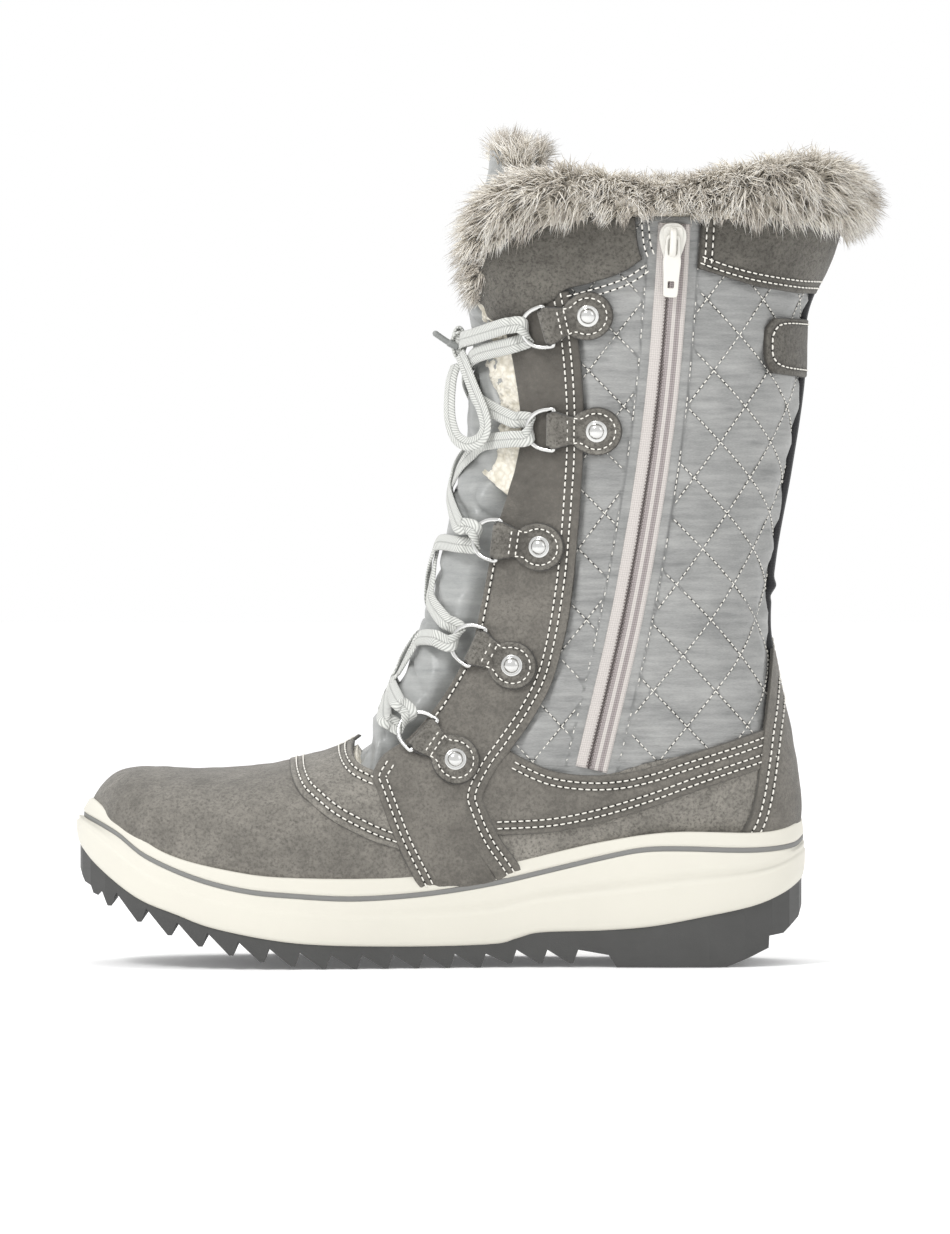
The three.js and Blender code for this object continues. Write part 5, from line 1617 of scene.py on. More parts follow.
# ------------------------------------------------------------------------ quilted shaft
@dataclass
class Shaft:
    """Quilted nylon from the throat round the back, its lining and the strip on its heel seam."""

    finish: Finishes
    half_width: float = 11.95
    half_height: float = 13.55
    lean: float = 0.0968
    origin: tuple[float, float] = (-11.2, 200.2)
    puff: float = 1.9
    floor: float = 66.0
    front: list = field(default_factory=lambda: [
        [88, 60], [84, 76], [74, 92], [66, 103], [58, 118], [52, 142], [48.5, 170], [47, 197], [47, 217],
        [50, 240], [56, 262], [60, 290],
    ])

    def mesh(self, side: Side) -> tuple[Array, Array, Array, Array]:
        """Grid of heights and angles from under the eyestay to the heel seam.

        Returns:
            Sections, angles, quilt columns and quilt rows. Columns count half diamonds round the
            girth from the zip's line, by running length; rows count them upwards.
        """
        z = np.linspace(self.floor, COLLAR_TOP, 116)
        line = rail(self.front, 300)
        x = np.interp(z, line[:, 1], line[:, 0])
        start = LAST.locate(np.column_stack([x, z]))[:, 1]
        u = np.linspace(0, 1, 106)[None]
        phi = start[:, None] + (math.pi - start[:, None]) * u
        s = LAST.rise(phi, level(z[:, None]), 6.0, LAST.end)
        skin = LAST.skin(s, phi)
        run = lengths(skin, 1)
        anchor = self.origin[0] + (z - self.origin[1]) * self.lean
        run_at = np.array([np.interp(-anchor[i], -skin[i, :, 0], run[i]) for i in range(len(z))])
        column = -(run - run_at[:, None]) / self.half_width
        height = (z[:, None] - self.origin[1]) / self.half_height + 0 * run
        return s, phi * side.value, column, height

    def zip_gap(self, skin: Array, side: Side) -> Array:
        """Distance from the zip's middle line, far off on the outer side."""
        if side is Side.LATERAL:
            return np.full(skin.shape[:-1], 60.0)
        return side_distance(skin[..., 0], skin[..., 2], rail(ZIP_LINE, 80))

    def covered(self, skin: Array, side: Side) -> Array:
        """1 where a panel or the heel strip lies over the nylon and presses it flat."""
        x, z = skin[..., 0], skin[..., 2]
        stay, band = rail(STAY_REAR, 200), rail(BAND_TOP, 200)[::-1]
        back = rail(COUNTER_FRONT, 100)
        stay_x = np.interp(z, stay[:, 1], stay[:, 0])
        band_z = np.interp(x, band[:, 0], band[:, 1])
        back_x = np.where(z < 121.5, np.interp(z, back[:, 1], back[:, 0]), -999)
        front = np.array(COLLAR_LOW_FRONT)[::-1]
        rear = np.array(COLLAR_LOW_REAR)[::-1]
        line = np.vstack([rear, front])
        collar_z = np.interp(x, line[:, 0], line[:, 1])
        if side is Side.MEDIAL:
            collar_z = np.where((x > -1.8) & (x < 18.5), 999, collar_z)
        heel = smooth((9.0 - np.abs(skin[..., 1])) / 4.0) * (x < 0)
        parts = [x - stay_x, band_z - z, back_x - x, z - collar_z]
        cover = [smooth((part + 2.6) / 2.4) for part in parts]
        return np.maximum.reduce(cover + [heel])

    def shell(self, side: Side) -> None:
        """Puffed nylon: it rises from every quilting line as 1 - exp(-(distance / reach)^2)."""
        s, phi, column, height = self.mesh(side)
        skin = LAST.skin(s, phi)
        scale = 2 * self.half_width * self.half_height / math.hypot(self.half_width, self.half_height)
        gap = np.full(s.shape, 99.0)
        for family in ((column + height) / 2, (column - height) / 2):
            gap = np.minimum(gap, np.abs(family - np.round(family)) * scale)
        zip_gap = self.zip_gap(skin, side)
        beside, to_stitches = zip_gap < ZIP_SEWN, np.abs(zip_gap - ZIP_SEWN)
        gap = np.where(beside, to_stitches, np.minimum(gap, to_stitches))
        rise = self.puff * (1 - np.exp(-((gap / 4.6) ** 2))) * np.where(beside, 0.25, 1.0)
        crinkle = (ripple(skin * [0.35, 0.35, 1.6], 7.0, 5) * 0.13
                   + ripple(skin * [0.5, 0.5, 1.2], 18.0, 6) * 0.2)
        pucker = ripple(skin * [0.6, 0.6, 2.2], 4.2, 7) * 0.12 * np.exp(-((gap / 3.0) ** 2))
        face = 0.15 + rise + crinkle * np.clip(gap / 3, 0.15, 1) + pucker
        face = face + (0.1 - face) * self.covered(skin, side)
        face = np.where(beside, 0.9 - 0.9 * smooth((4.8 - zip_gap) / 1.4), face)
        marks = {"quilt": np.clip(gap, 0, 12)}
        slab(LAST.at(s, phi, face), LAST.at(s, phi, -0.7), marks).piece(
            f"quilted_shaft_{side.word}", self.finish.quilt, "quilted_nylon")
        self.sew_quilt(side, s, phi, column, height, zip_gap)

    def sew_quilt(self, side: Side, s: Array, phi: Array, column: Array, height: Array,
                  zip_gap: Array) -> None:
        """Fine stitches along the diamonds, left out under the panels and beside the zip."""
        rows = []
        levels = height[:, 0]
        stay, band = rail(STAY_REAR, 200), rail(BAND_TOP, 200)
        for way in (1, -1):
            for k in range(-24, 30):
                target = 2 * k - way * levels
                spot = []
                for i, wanted in enumerate(target):
                    line = column[i]
                    if line[-1] < wanted < line[0]:
                        j = np.interp(-wanted, -line, np.arange(len(line)))
                        spot.append([np.interp(j, np.arange(len(line)), v[i]) for v in (s, phi, zip_gap)])
                if len(spot) < 4:
                    continue
                spot = np.array(spot)
                path = LAST.skin(spot[:, 0], spot[:, 1])
                inside = (path[:, 0] < np.interp(path[:, 2], stay[:, 1], stay[:, 0]) + 1)
                inside &= path[:, 2] > np.interp(path[:, 0], band[::-1, 0], band[::-1, 1]) - 1
                inside &= spot[:, 2] > 10.2
                cuts = np.flatnonzero(np.diff(inside.astype(int))) + 1
                for chunk in np.split(np.arange(len(path)), cuts):
                    if len(chunk) > 4 and inside[chunk[0]]:
                        p = LAST.at(spot[chunk, 0], spot[chunk, 1], 0.3)
                        rows.append((p, LAST.normal(spot[chunk, 0], spot[chunk, 1])))
        if side is Side.MEDIAL:
            line = rail(ZIP_LINE, 200)[6:]
            for d in (ZIP_SEWN, -ZIP_SEWN):
                rows.append(on_side(aside(line, d), side, 0.35))
        QUILTING.sewn(rows).piece(f"quilting_{side.word}", self.finish.thread, "quilted_nylon")
        # dark lids painting the shadow in the quilting's needle holes
        QUILTING.holes(rows).piece(f"quilting_holes_{side.word}", self.finish.hole, "quilted_nylon")

    def heel_strip(self) -> None:
        """Dark webbing on the heel seam, from the counter up to the rear patch, folded once."""
        z = np.linspace(117, 262, 150)[:, None]
        half = np.linspace(-1, 1, 13)[None]
        back = LAST.rise(np.full(z.shape, math.pi), level(z), HEEL_SECTION, LAST.end)
        width = LAST.section(back)[..., 4]
        phi = math.pi + half * 3.7 / width * 1.9
        s = LAST.rise(phi, level(z), HEEL_SECTION, LAST.end)
        fold = np.exp(-(((z - 145.5) / 2.2) ** 2)) * 1.3 - np.exp(-(((z - 141) / 1.4) ** 2)) * 0.5
        face = 2.7 * np.sqrt(np.clip(1 - (np.abs(half) ** 6) * 0.8, 0, 1)) + fold
        outer, inner = LAST.at(s, phi, face), LAST.at(s, phi, -0.2 + 0 * face)
        marks = {"run": lengths(outer, 0), "across": np.broadcast_to(half * 5, outer.shape[:2])}
        slab(outer, inner, marks).piece("heel_strip", self.finish.strip, "zip_tape")

    def throat_angle(self, s: Array) -> Array:
        """Angle at which the throat's edge crosses section s."""
        spot = LAST.locate(THROAT[5:])
        order = np.argsort(spot[:, 0])
        return np.interp(s, spot[order, 0], spot[order, 1])

    def lining(self) -> None:
        """Fleece inside, from the toe to the collar, open at the throat."""
        v = np.linspace(0, 1, 84)[None]
        top = 21.5 - 1.6 * (1 - smooth(np.minimum(v, 1 - v) / 0.25))
        s = np.concatenate([np.linspace(0.8, 7.0, 26), np.linspace(7.1, 21.5, 84)])[:, None]
        s = np.where(s > 7, 7 + (s - 7) * (top - 7) / 14.5, s + 0 * v)
        edge = np.where(s < 6.6, 0.03, self.throat_angle(s) + 0.04)
        phi = edge + (2 * math.pi - 2 * edge) * v
        skin = LAST.skin(s, phi)
        lump = ripple(skin, 4.2, 41) * 0.35 + ripple(skin, 9, 42) * 0.3
        outer = LAST.at(s, phi, -0.9 + 0 * lump)
        inner = LAST.at(s, phi, -3.3 + lump)
        slab(outer, inner).piece("fleece_lining", self.finish.fleece, "fleece", replaces=["upper"])

    def footbed(self) -> None:
        """Fleece footbed, crowned at its edges."""
        s = np.linspace(1.6, 12.3, 50)[:, None]
        v = np.linspace(-1, 1, 32)[None]
        phi = math.pi + v * 0.9 + 0 * s
        skin = LAST.at(s, phi, -3.9)
        lump = ripple(skin, 4.6, 43) * 0.3
        top = skin + np.array([0, 0, 1]) * (3.4 * (1 - v**6) + lump)[..., None]
        slab(top, LAST.at(s, phi, -3.6 + 0 * lump)).piece(
            "fleece_footbed", self.finish.fleece, "fleece", replaces=["insole"])

    def gusset(self, side: Side) -> None:
        """Cream pile that shows between the eyestay and the tongue, with an uneven edge."""
        z = np.linspace(0, 1, 76)[:, None]
        s = 13.9 + z * 6.0
        edge = self.throat_angle(s)
        v = np.linspace(0, 1, 22)[None]
        reach = 0.4 + 0.05 * ripple(np.concatenate([s * 9, s * 0, s * 0], -1), 8, 51)[:, None]
        phi = edge + 0.14 - (reach + 0.14) * v
        skin = LAST.skin(s, phi)
        lump = ripple(skin, 3.4, 52) * 0.45 + ripple(skin, 7.5, 53) * 0.5
        face = 0.9 + lump + 1.2 * np.sin(np.pi * v) - 3.2 * v**6
        slab(LAST.at(s, phi * side.value, face), LAST.at(s, phi * side.value, -2.6 + 0 * face)).piece(
            f"fleece_gusset_{side.word}", self.finish.fleece, "fleece")

    def build(self) -> None:
        """Makes the shaft."""
        for side in Side:
            self.shell(side)
            self.gusset(side)
        self.heel_strip()
        self.lining()
        self.footbed()


@dataclass
class Tongue:
    """Padded nylon tongue, creased where the laces press it."""

    finish: Finishes
    shaft: Shaft

    def build(self) -> None:
        """Crowned sheet in the throat: it puffs between the laces and tucks under the edges."""
        s = np.linspace(6.3, 21.55, 170)[:, None]
        v = np.linspace(-1, 1, 54)[None]
        side = self.shaft.throat_angle(s)
        stretch = side + 0.16
        phi = v * stretch
        skin = LAST.skin(s, phi)
        tuck = smooth((np.abs(phi) - side + 0.2) / 0.16)
        hidden = smooth((7.25 - s) / 0.5)
        puff = smooth((s - 20.6) / 1.2)
        lean = 14 * smooth((s - 19.2) / 2.4)
        press = np.zeros(s.shape)
        for centre in (8.6, 11.2, 14.0, 17.1):
            press += np.exp(-(((s - centre) / 0.75) ** 2))
        slant = skin + 0.7 * skin[..., 1:2] * np.array([0, 0, 1.0])
        valleys = np.exp(-(ripple(slant * [1, 0.3, 1], 24, 61) / 0.35) ** 2) * 1.7
        creases = ripple(slant * [1.2, 0.4, 1.2], 11, 62) * 0.25 - valleys
        face = 2.9 - 1.5 * press + creases - 6.6 * np.maximum(tuck, hidden) - lean + 3 * puff
        back = face - 6.5 + 3.5 * np.maximum(tuck, hidden) - puff * 5
        marks = {"quilt": np.full(face.shape, 5.0)}
        piece = slab(LAST.at(s, phi, face), LAST.at(s, phi, back), marks).piece(
            "tongue_pad", self.finish.tongue, "tongue_nylon", replaces=["tongue"])


# ------------------------------------------------------------------------ metalwork
@dataclass
class Hardware:
    """Ten lace tabs, each with its stitching, D ring and rivet."""

    finish: Finishes
    lacing: Lacing
    head: float = 9.2
    half: float = 6.4
    lift: float = 3.1
    thick: float = 1.7

    def outline(self, count: int) -> Array:
        """Tab outline about its rivet: a round head, a waist and a strap to the ring."""
        reach = 14.6
        turn = np.linspace(0.62, 2 * np.pi - 0.62, 40)
        head = np.stack([self.head * np.cos(turn), self.head * np.sin(turn)], -1)
        strap = [[10.5, -self.half + 0.1], [reach, -self.half], [reach, self.half], [10.5, self.half - 0.1]]
        corner = np.array([[9.2, -5.7], *strap, [9.2, 5.7]])
        line = np.vstack([head, corner])
        return rail(np.vstack([line, line[:1]]), count + 1)[:-1]

    def laid(self, index: int, side: Side, local: Array) -> tuple[Array, Array]:
        """Sections and angles of points given from the rivet, as towards the ring and across."""
        rx, rz, bx, bz = STATIONS[index]
        way = unit(np.array([bx - rx, bz - rz]))
        square = np.array([-way[1], way[0]])
        spot = LAST.locate(np.array([rx, rz]) + local[..., :1] * way + local[..., 1:] * square)
        return spot[..., 0], spot[..., 1] * side.value

    def tab(self, index: int, side: Side) -> Shape:
        """The leather: rings of its outline shrink to a middle point, with a rounded edge."""
        rx, rz, bx, bz = STATIONS[index]
        run = math.hypot(bx - rx, bz - rz)
        flat = self.outline(72)
        flat[:, 0] *= np.where(flat[:, 0] > 5, (run + 1.0) / 14.6, 1.0)
        middle = np.array([3.0, 0.0])
        fractions = np.array([1.0, 0.985, 0.955, 0.91, 0.84, 0.72, 0.55, 0.36, 0.18, 0.02])
        fall = np.array([0.62, 0.3, 0.1, 0.02, 0, 0, 0, 0, 0, 0])
        local = middle + (flat - middle)[None] * fractions[:, None, None]
        s, phi = self.laid(index, side, local)
        ahead = smooth((local[..., 0] - 8.2) / 5.0)
        near = np.abs(np.linalg.norm(local, axis=-1) - 6.6)
        strap_row = np.abs(local[..., 0] - 7.6)
        strap = np.minimum(near, np.where(np.abs(local[..., 1]) < 5, strap_row, 9))
        row = np.where(local[..., 0] > 5.2, strap, near)
        dip = 0.25 * np.exp(-((row / 0.8) ** 2))
        dish = 0.35 * np.exp(-((np.linalg.norm(local, axis=-1) / 4.2) ** 4))
        top = self.lift + self.thick + ahead * 2.4 - self.thick * fall[:, None] - dip - dish
        low = self.lift + ahead * 0.5 + 0 * top
        outer, inner = LAST.at(s, phi, top), LAST.at(s, phi, low)
        rim = np.broadcast_to(np.array([1, 0.9, 0.3, 0, 0, 0, 0, 0, 0, 0])[:, None], top.shape)
        shape = slab(outer, inner, {"rim": rim, "seam": np.exp(-((row / 0.8) ** 2)) * 0.7}, wrap=True)
        seat = self.lacing.ring_seat(index, side)
        along = np.linspace(-1, 1, 15)
        path = seat.at(0, along * (self.half + 0.1), 0)
        shrink = np.where(np.abs(along) > 0.97, 0.86, 1.0)
        sleeve = hose(path, shrink, np.tile(seat.out, (15, 1)), oval(2.5, 2.45, 22, 2.2))
        sleeve.marks = {"rim": np.repeat((np.abs(along) > 0.97).astype(float), 22), "seam": np.zeros(15 * 22)}
        return Shape.joined([shape, sleeve])

    def tab_rows(self, index: int, side: Side) -> Stitches:
        """Stitches round the rivet, closed by a double row across the strap."""
        turn = np.linspace(0.72, 2 * np.pi - 0.72, 60)
        ring = np.stack([6.9 * np.cos(turn), 6.9 * np.sin(turn)], -1)
        ring = np.vstack([[[8.6, 4.9]], ring, [[8.6, -4.9]]])
        rows = [rail(ring, 120)] + [rail([[x, -4.9], [x, 4.9]], 30) for x in (8.0, 10.2)]
        out = []
        for row in rows:
            s, phi = self.laid(index, side, row)
            height = self.lift + self.thick - 0.15 + smooth((row[:, 0] - 8.2) / 5.0) * 2.4
            out.append((LAST.at(s, phi, height), LAST.normal(s, phi)))
        return out

    def ring(self, index: int, side: Side) -> Shape:
        """Round wire bent to a D: a straight bar under the strap and a bowed front."""
        seat = self.lacing.ring_seat(index, side)
        turn = np.linspace(0, np.pi, 19)
        half, depth = self.lacing.ring_half, self.lacing.ring_depth
        bow = [[depth * math.sin(t) ** 0.8, half * math.cos(t)] for t in turn]
        bar = [[-0.35, -half * 0.8], [-0.35, 0], [-0.35, half * 0.8]]
        flat = rail(np.vstack([bow, bar]), 96, closed=True)
        path = seat.at(flat[:, 0], flat[:, 1], 0)
        return hose(path, 1.0, np.tile(seat.out, (len(path), 1)), oval(0.95, 0.95, 14), closed=True)

    def rivet(self, index: int, side: Side) -> Shape:
        """Turned head: a flat rim, a groove and a dome, spun round its axis."""
        rx, rz, bx, bz = STATIONS[index]
        seat = Seat.on(rx, rz, side, self.lift + self.thick - 0.35, bx, bz)
        profile = np.array([
            [0.02, -0.6], [4.1, -0.6], [4.25, 0.1], [4.15, 0.45], [3.7, 0.62], [3.25, 0.5], [3.05, 0.55],
            [2.95, 1.0], [2.6, 1.6], [2.0, 2.05], [1.2, 2.32], [0.5, 2.42], [0.02, 2.44]])
        turn = np.linspace(0, 2 * np.pi, 40, endpoint=False)[None]
        r, c = profile[:, :1], profile[:, 1:]
        return tube(seat.at(r * np.cos(turn), r * np.sin(turn), c + 0 * turn))

    def build(self) -> None:
        """Makes every tab, ring and rivet."""
        rows = []
        for side in Side:
            for index in range(len(STATIONS)):
                label = f"{side.word}_{index + 1}"
                for shape, name, finish, slot, node in (
                        (self.tab, "lace_tab", self.finish.tab, "suede_dark", "tab"),
                        (self.ring, "d_ring", self.finish.steel, "steel", "ring"),
                        (self.rivet, "tab_rivet", self.finish.steel, "steel", "rivet")):
                    shape(index, side).piece(f"{name}_{label}", finish, slot, replaces=[f"{node}_{label}"])
                rows += self.tab_rows(index, side)
        TAB_SEWING.sewn(rows).piece("tab_stitches", self.finish.thread, "suede_dark")
        # dark lids painting the shadow in the tabs' needle holes
        TAB_SEWING.holes(rows).piece("tab_needle_holes", self.finish.hole, "suede_dark")


# ------------------------------------------------------------------------ zip
@dataclass
class Zip:
    """Closed coil zip on the inner side, with its slider and pull tab."""

    finish: Finishes
    half: float = 6.2
    coil: float = 1.0
    pitch: float = 1.3

    def bands(self) -> None:
        """Two tapes with a rolled garage edge, and the flat channel between them."""
        line = rail(ZIP_LINE, 180)
        table = np.array([
            [-1.0, 0.25], [-0.98, 0.75], [-0.9, 1.2], [-0.78, 1.3], [-0.62, 0.95], [-0.5, 0.95],
            [-0.4, 1.25], [-0.3, 1.3], [-0.18, 1.1], [-0.06, 1.05], [0.06, 0.95], [0.18, 0.45],
            [0.3, 0.85], [0.4, 1.35], [0.5, 1.45], [0.62, 1.45], [0.78, 1.4], [0.9, 1.2],
            [0.98, 0.75], [1.0, 0.25]])
        across, rise = table[:, 0], table[:, 1] + 0.25
        flat = np.stack([aside(line, u * self.half) for u in across], 1)
        spot = LAST.locate(flat)
        face = rise[None] + 0.08 * ripple(LAST.skin(spot[..., 0], spot[..., 1]), 14, 71)
        outer = LAST.at(spot[..., 0], spot[..., 1], face)
        inner = LAST.at(spot[..., 0], spot[..., 1], 0.1 + 0 * face)
        marks = {"run": lengths(outer, 0), "across": np.broadcast_to(across * self.half, face.shape)}
        slab(outer, inner, marks).piece("zip_bands", self.finish.tape, "zip_tape", replaces=["zip_tape"])

    def teeth(self) -> None:
        """Coil turns of both bands, which meet in the middle, half a pitch apart."""
        line = aside(rail(ZIP_LINE, 1200), 1.2)
        run = lengths(line)
        shapes = []
        for way in (-1, 1):
            middles = np.arange(3.0 + (0.5 * self.pitch if way > 0 else 0), run[-1] - 0.5, self.pitch)
            at = read_off(line, run, middles)
            along = unit(read_off(line, run, middles + 0.5) - at)
            cross = np.stack([-along[:, 1], along[:, 0]], -1)
            reach = np.array([0.08, 0.2, 0.45, 0.75, self.coil]) * way
            lift = np.array([0.75, 0.95, 1.05, 1.0, 0.7])
            spine = at[:, None] + cross[:, None] * reach[None, :, None]
            spot = LAST.locate(spine)
            points = LAST.at(spot[..., 0], spot[..., 1], lift[None] + 0 * spot[..., 0])
            normals = LAST.normal(spot[..., 0], spot[..., 1])
            profile = oval(0.42, 0.36, 6)
            forward = unit(np.gradient(points, axis=1))
            side = unit(np.cross(normals, forward))
            up = np.cross(forward, side)
            fat = np.array([0.7, 1.0, 1.0, 1.0, 0.7])[None, :, None, None]
            rings = (points[:, :, None] + side[:, :, None] * profile[:, :1] * fat
                     + up[:, :, None] * profile[:, 1:] * fat)
            faces = many(len(middles), 5, 6, [[0, 1, 2, 3, 4, 5], [29, 28, 27, 26, 25, 24]])
            shapes.append(Shape(rings.reshape(-1, 3), faces).turned_out())
        Shape.joined(shapes).piece("zip_coils", self.finish.coil, "zip_tape")

    def plate(self, seat: Seat, outline: Rows, holes: Sequence[Rows], low: float, high: float,
              bevel: float) -> bpy.types.Mesh:
        """Flat plate with rounded edges and holes, cut in a seat's plane.

        Args:
            seat: the plane's axes.
            outline: corners of the plate, forward and across.
            holes: corners of each hole.
            low: height of its underside.
            high: height of its face.
            bevel: radius of its edges.

        Returns:
            The mesh, in metres.
        """
        curve = bpy.data.curves.new("plate", "CURVE")
        curve.dimensions = "2D"
        curve.fill_mode = "BOTH"
        curve.extrude = (high - low) / 2 - bevel
        curve.bevel_depth = bevel
        curve.bevel_resolution = 3
        curve.offset = -bevel
        for loop in (outline, *holes):
            points = rail(loop, 64, closed=True)
            line = curve.splines.new("POLY")
            line.points.add(len(points) - 1)
            line.use_cyclic_u = True
            flat = np.column_stack([points, np.zeros(len(points)), np.ones(len(points))])
            line.points.foreach_set("co", flat.ravel())
        holder = bpy.data.objects.new("plate", curve)
        bpy.context.scene.collection.objects.link(holder)
        bpy.context.view_layer.update()
        mesh = bpy.data.meshes.new_from_object(holder.evaluated_get(bpy.context.evaluated_depsgraph_get()))
        bpy.data.objects.remove(holder)
        bpy.data.curves.remove(curve)
        local = np.empty(len(mesh.vertices) * 3)
        mesh.vertices.foreach_get("co", local)
        local = local.reshape(-1, 3)
        world = seat.at(local[:, 0], local[:, 1], local[:, 2] + (low + high) / 2)
        mesh.vertices.foreach_set("co", (world * MM).ravel())
        return mesh

    def gathered(self, name: str, meshes: Sequence[bpy.types.Mesh], body: str, node: str) -> None:
        """Joins plates into one enamelled piece."""
        work = bmesh.new()
        for mesh in meshes:
            work.from_mesh(mesh)
        bmesh.ops.remove_doubles(work, verts=work.verts, dist=WELD)
        bmesh.ops.recalc_face_normals(work, faces=work.faces)
        mesh = bpy.data.meshes.new(name)
        work.to_mesh(mesh)
        work.free()
        for old in meshes:
            bpy.data.meshes.remove(old)
        mesh.materials.clear()
        mesh.materials.append(self.finish.enamel)
        mesh.polygons.foreach_set("use_smooth", [True] * len(mesh.polygons))
        mesh.set_sharp_from_angle(angle=math.radians(42))
        obj = bpy.data.objects.new(name, mesh)
        bpy.context.scene.collection.objects.link(obj)
        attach(obj, body)
        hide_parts(node)
        log.info("piece %s: %d faces", name, len(mesh.polygons))

    @staticmethod
    def mirrored(back: float, half: Rows, front: float) -> Rows:
        """Closed outline with two like halves, between a back and a front point of its middle."""
        return [[x, -y] for x, y in half] + [[front, 0]] + [[x, y] for x, y in half[::-1]] + [[back, 0]]

    def slider(self) -> None:
        """Slider body, its bridge, and the pull that hangs from the bridge on its own body."""
        seat = Seat.on(7.3, 277, Side.MEDIAL, 2.2, 8.4, 255)
        base = self.mirrored(-6.4, [[-6.0, 2.6], [-4.0, 4.6], [-1.0, 5.2], [2.2, 4.6], [5.4, 3.6],
                                    [7.0, 2.8]], 7.3)
        rib = self.mirrored(-5.2, [[-4.6, 3.4], [-1, 3.7], [4.6, 3.1]], 5.8)
        body = [self.plate(seat, base, [], 0.0, 1.7, 0.45), self.plate(seat, rib, [], 1.3, 2.4, 0.4)]
        turn = np.linspace(0, np.pi, 24)
        path = seat.at(1.0 - 5.2 * np.cos(turn), 0 * turn, 1.9 + 3.7 * np.sin(turn) ** 0.6)
        bridge = hose(path, 1.0, np.tile(seat.across, (24, 1)), oval(0.55, 1.25, 12, 3.0))
        mesh = bpy.data.meshes.new("bridge")
        mesh.from_pydata((bridge.points * MM).tolist(), [], [f for b in bridge.faces for f in b.tolist()])
        body.append(mesh)
        self.gathered("zip_slider_body", body, BODY, "zip_slider")
        pull = self.mirrored(-2.1, [[-1.9, 1.6], [-1.3, 2.5], [2, 2.8], [6, 3.1], [8, 3.4], [14, 3.0],
                                    [20.4, 2.7], [21.5, 2.0]], 21.7)
        eye = self.mirrored(-0.6, [[-0.3, 1.5], [2.5, 1.75], [5.4, 1.5]], 6.0)
        hole = self.mirrored(15.6, [[15.7, 1.1], [16.9, 1.2], [18.1, 1.1]], 18.2)
        plates = [self.plate(seat, pull, [eye, hole], 2.85, 4.3, 0.35)]
        self.gathered("zip_pull_tab", plates, PULL_BODY, "zip_pull")

    def build(self) -> None:
        """Makes the zip."""
        self.bands()
        self.teeth()
        self.slider()


# ------------------------------------------------------------------------ fur
@dataclass(frozen=True)
class Coat:
    """How a patch of fur lies: strand count, length, droop, clump size and fibre radius."""

    count: int
    length: float
    droop: float = 0.5
    clumps: int = 260
    radius: float = 0.2
    seed: int = 7

    def grown(self, roots: Array, normals: Array, flow: Array, rng: np.random.Generator,
              scale: Array | float = 1.0) -> Shape:
        """Tapered three-sided strands from roots, drawn together in clumps.

        A strand starts along its normal and flow, bends down as the square of its run, and its
        tip leans towards the middle of its clump.
        """
        count = len(roots)
        leader = rng.choice(count, self.clumps, replace=False)
        nearest = np.concatenate([
            np.argmin(((roots[k: k + 1500, None] - roots[leader][None]) ** 2).sum(-1), 1)
            for k in range(0, count, 1500)])
        sway = unit(rng.normal(size=(self.clumps, 3)))[nearest]
        length = self.length * scale * rng.uniform(0.62, 1.1, count)
        length = length * (0.85 + 0.3 * rng.random(self.clumps)[nearest])
        start = unit(normals * 0.75 + flow + 0.38 * sway + 0.2 * rng.normal(size=(count, 3)))
        gather = roots[leader][nearest] - roots
        t = np.array([0.0, 0.5, 1.0])
        curl = unit(np.cross(start, rng.normal(size=(count, 3))))
        bend = rng.normal(0, 0.16, (count, 1))
        line = (roots[:, None] + start[:, None] * (length[:, None] * t)[..., None]
                + gather[:, None] * (0.62 * t**1.6)[None, :, None]
                + (curl * bend)[:, None] * (length[:, None] * t**2)[..., None]
                + np.array([0, 0, -1.0]) * (self.droop * length[:, None] * t**2)[..., None])
        way = unit(np.gradient(line, axis=1))
        side = unit(np.cross(way, rng.normal(size=(count, 1, 3))))
        up = np.cross(way, side)
        turn = np.array([0, 2 * np.pi / 3, 4 * np.pi / 3])
        fat = np.array([1.0, 0.86])[None, :, None, None] * self.radius
        rings = (line[:, :2, None] + fat * (side[:, :2, None] * np.cos(turn)[:, None]
                                            + up[:, :2, None] * np.sin(turn)[:, None]))
        points = np.concatenate([rings.reshape(count, 6, 3), line[:, 2:]], 1)
        offset = (np.arange(count) * 7)[:, None, None]
        quads = (weave(2, 3, 0, True)[None, :, ::-1] + offset).reshape(-1, 4)
        tips = (np.array([[3, 4, 6], [4, 5, 6], [5, 3, 6], [2, 1, 0]])[None] + offset).reshape(-1, 3)
        along = np.tile(np.array([0] * 3 + [0.5] * 3 + [1.0]), count)
        own = np.repeat(0.6 * rng.random(count) + 0.4 * rng.random(self.clumps)[nearest], 7)
        return Shape(points.reshape(-1, 3), [quads, tips], {"along": along, "own": own})


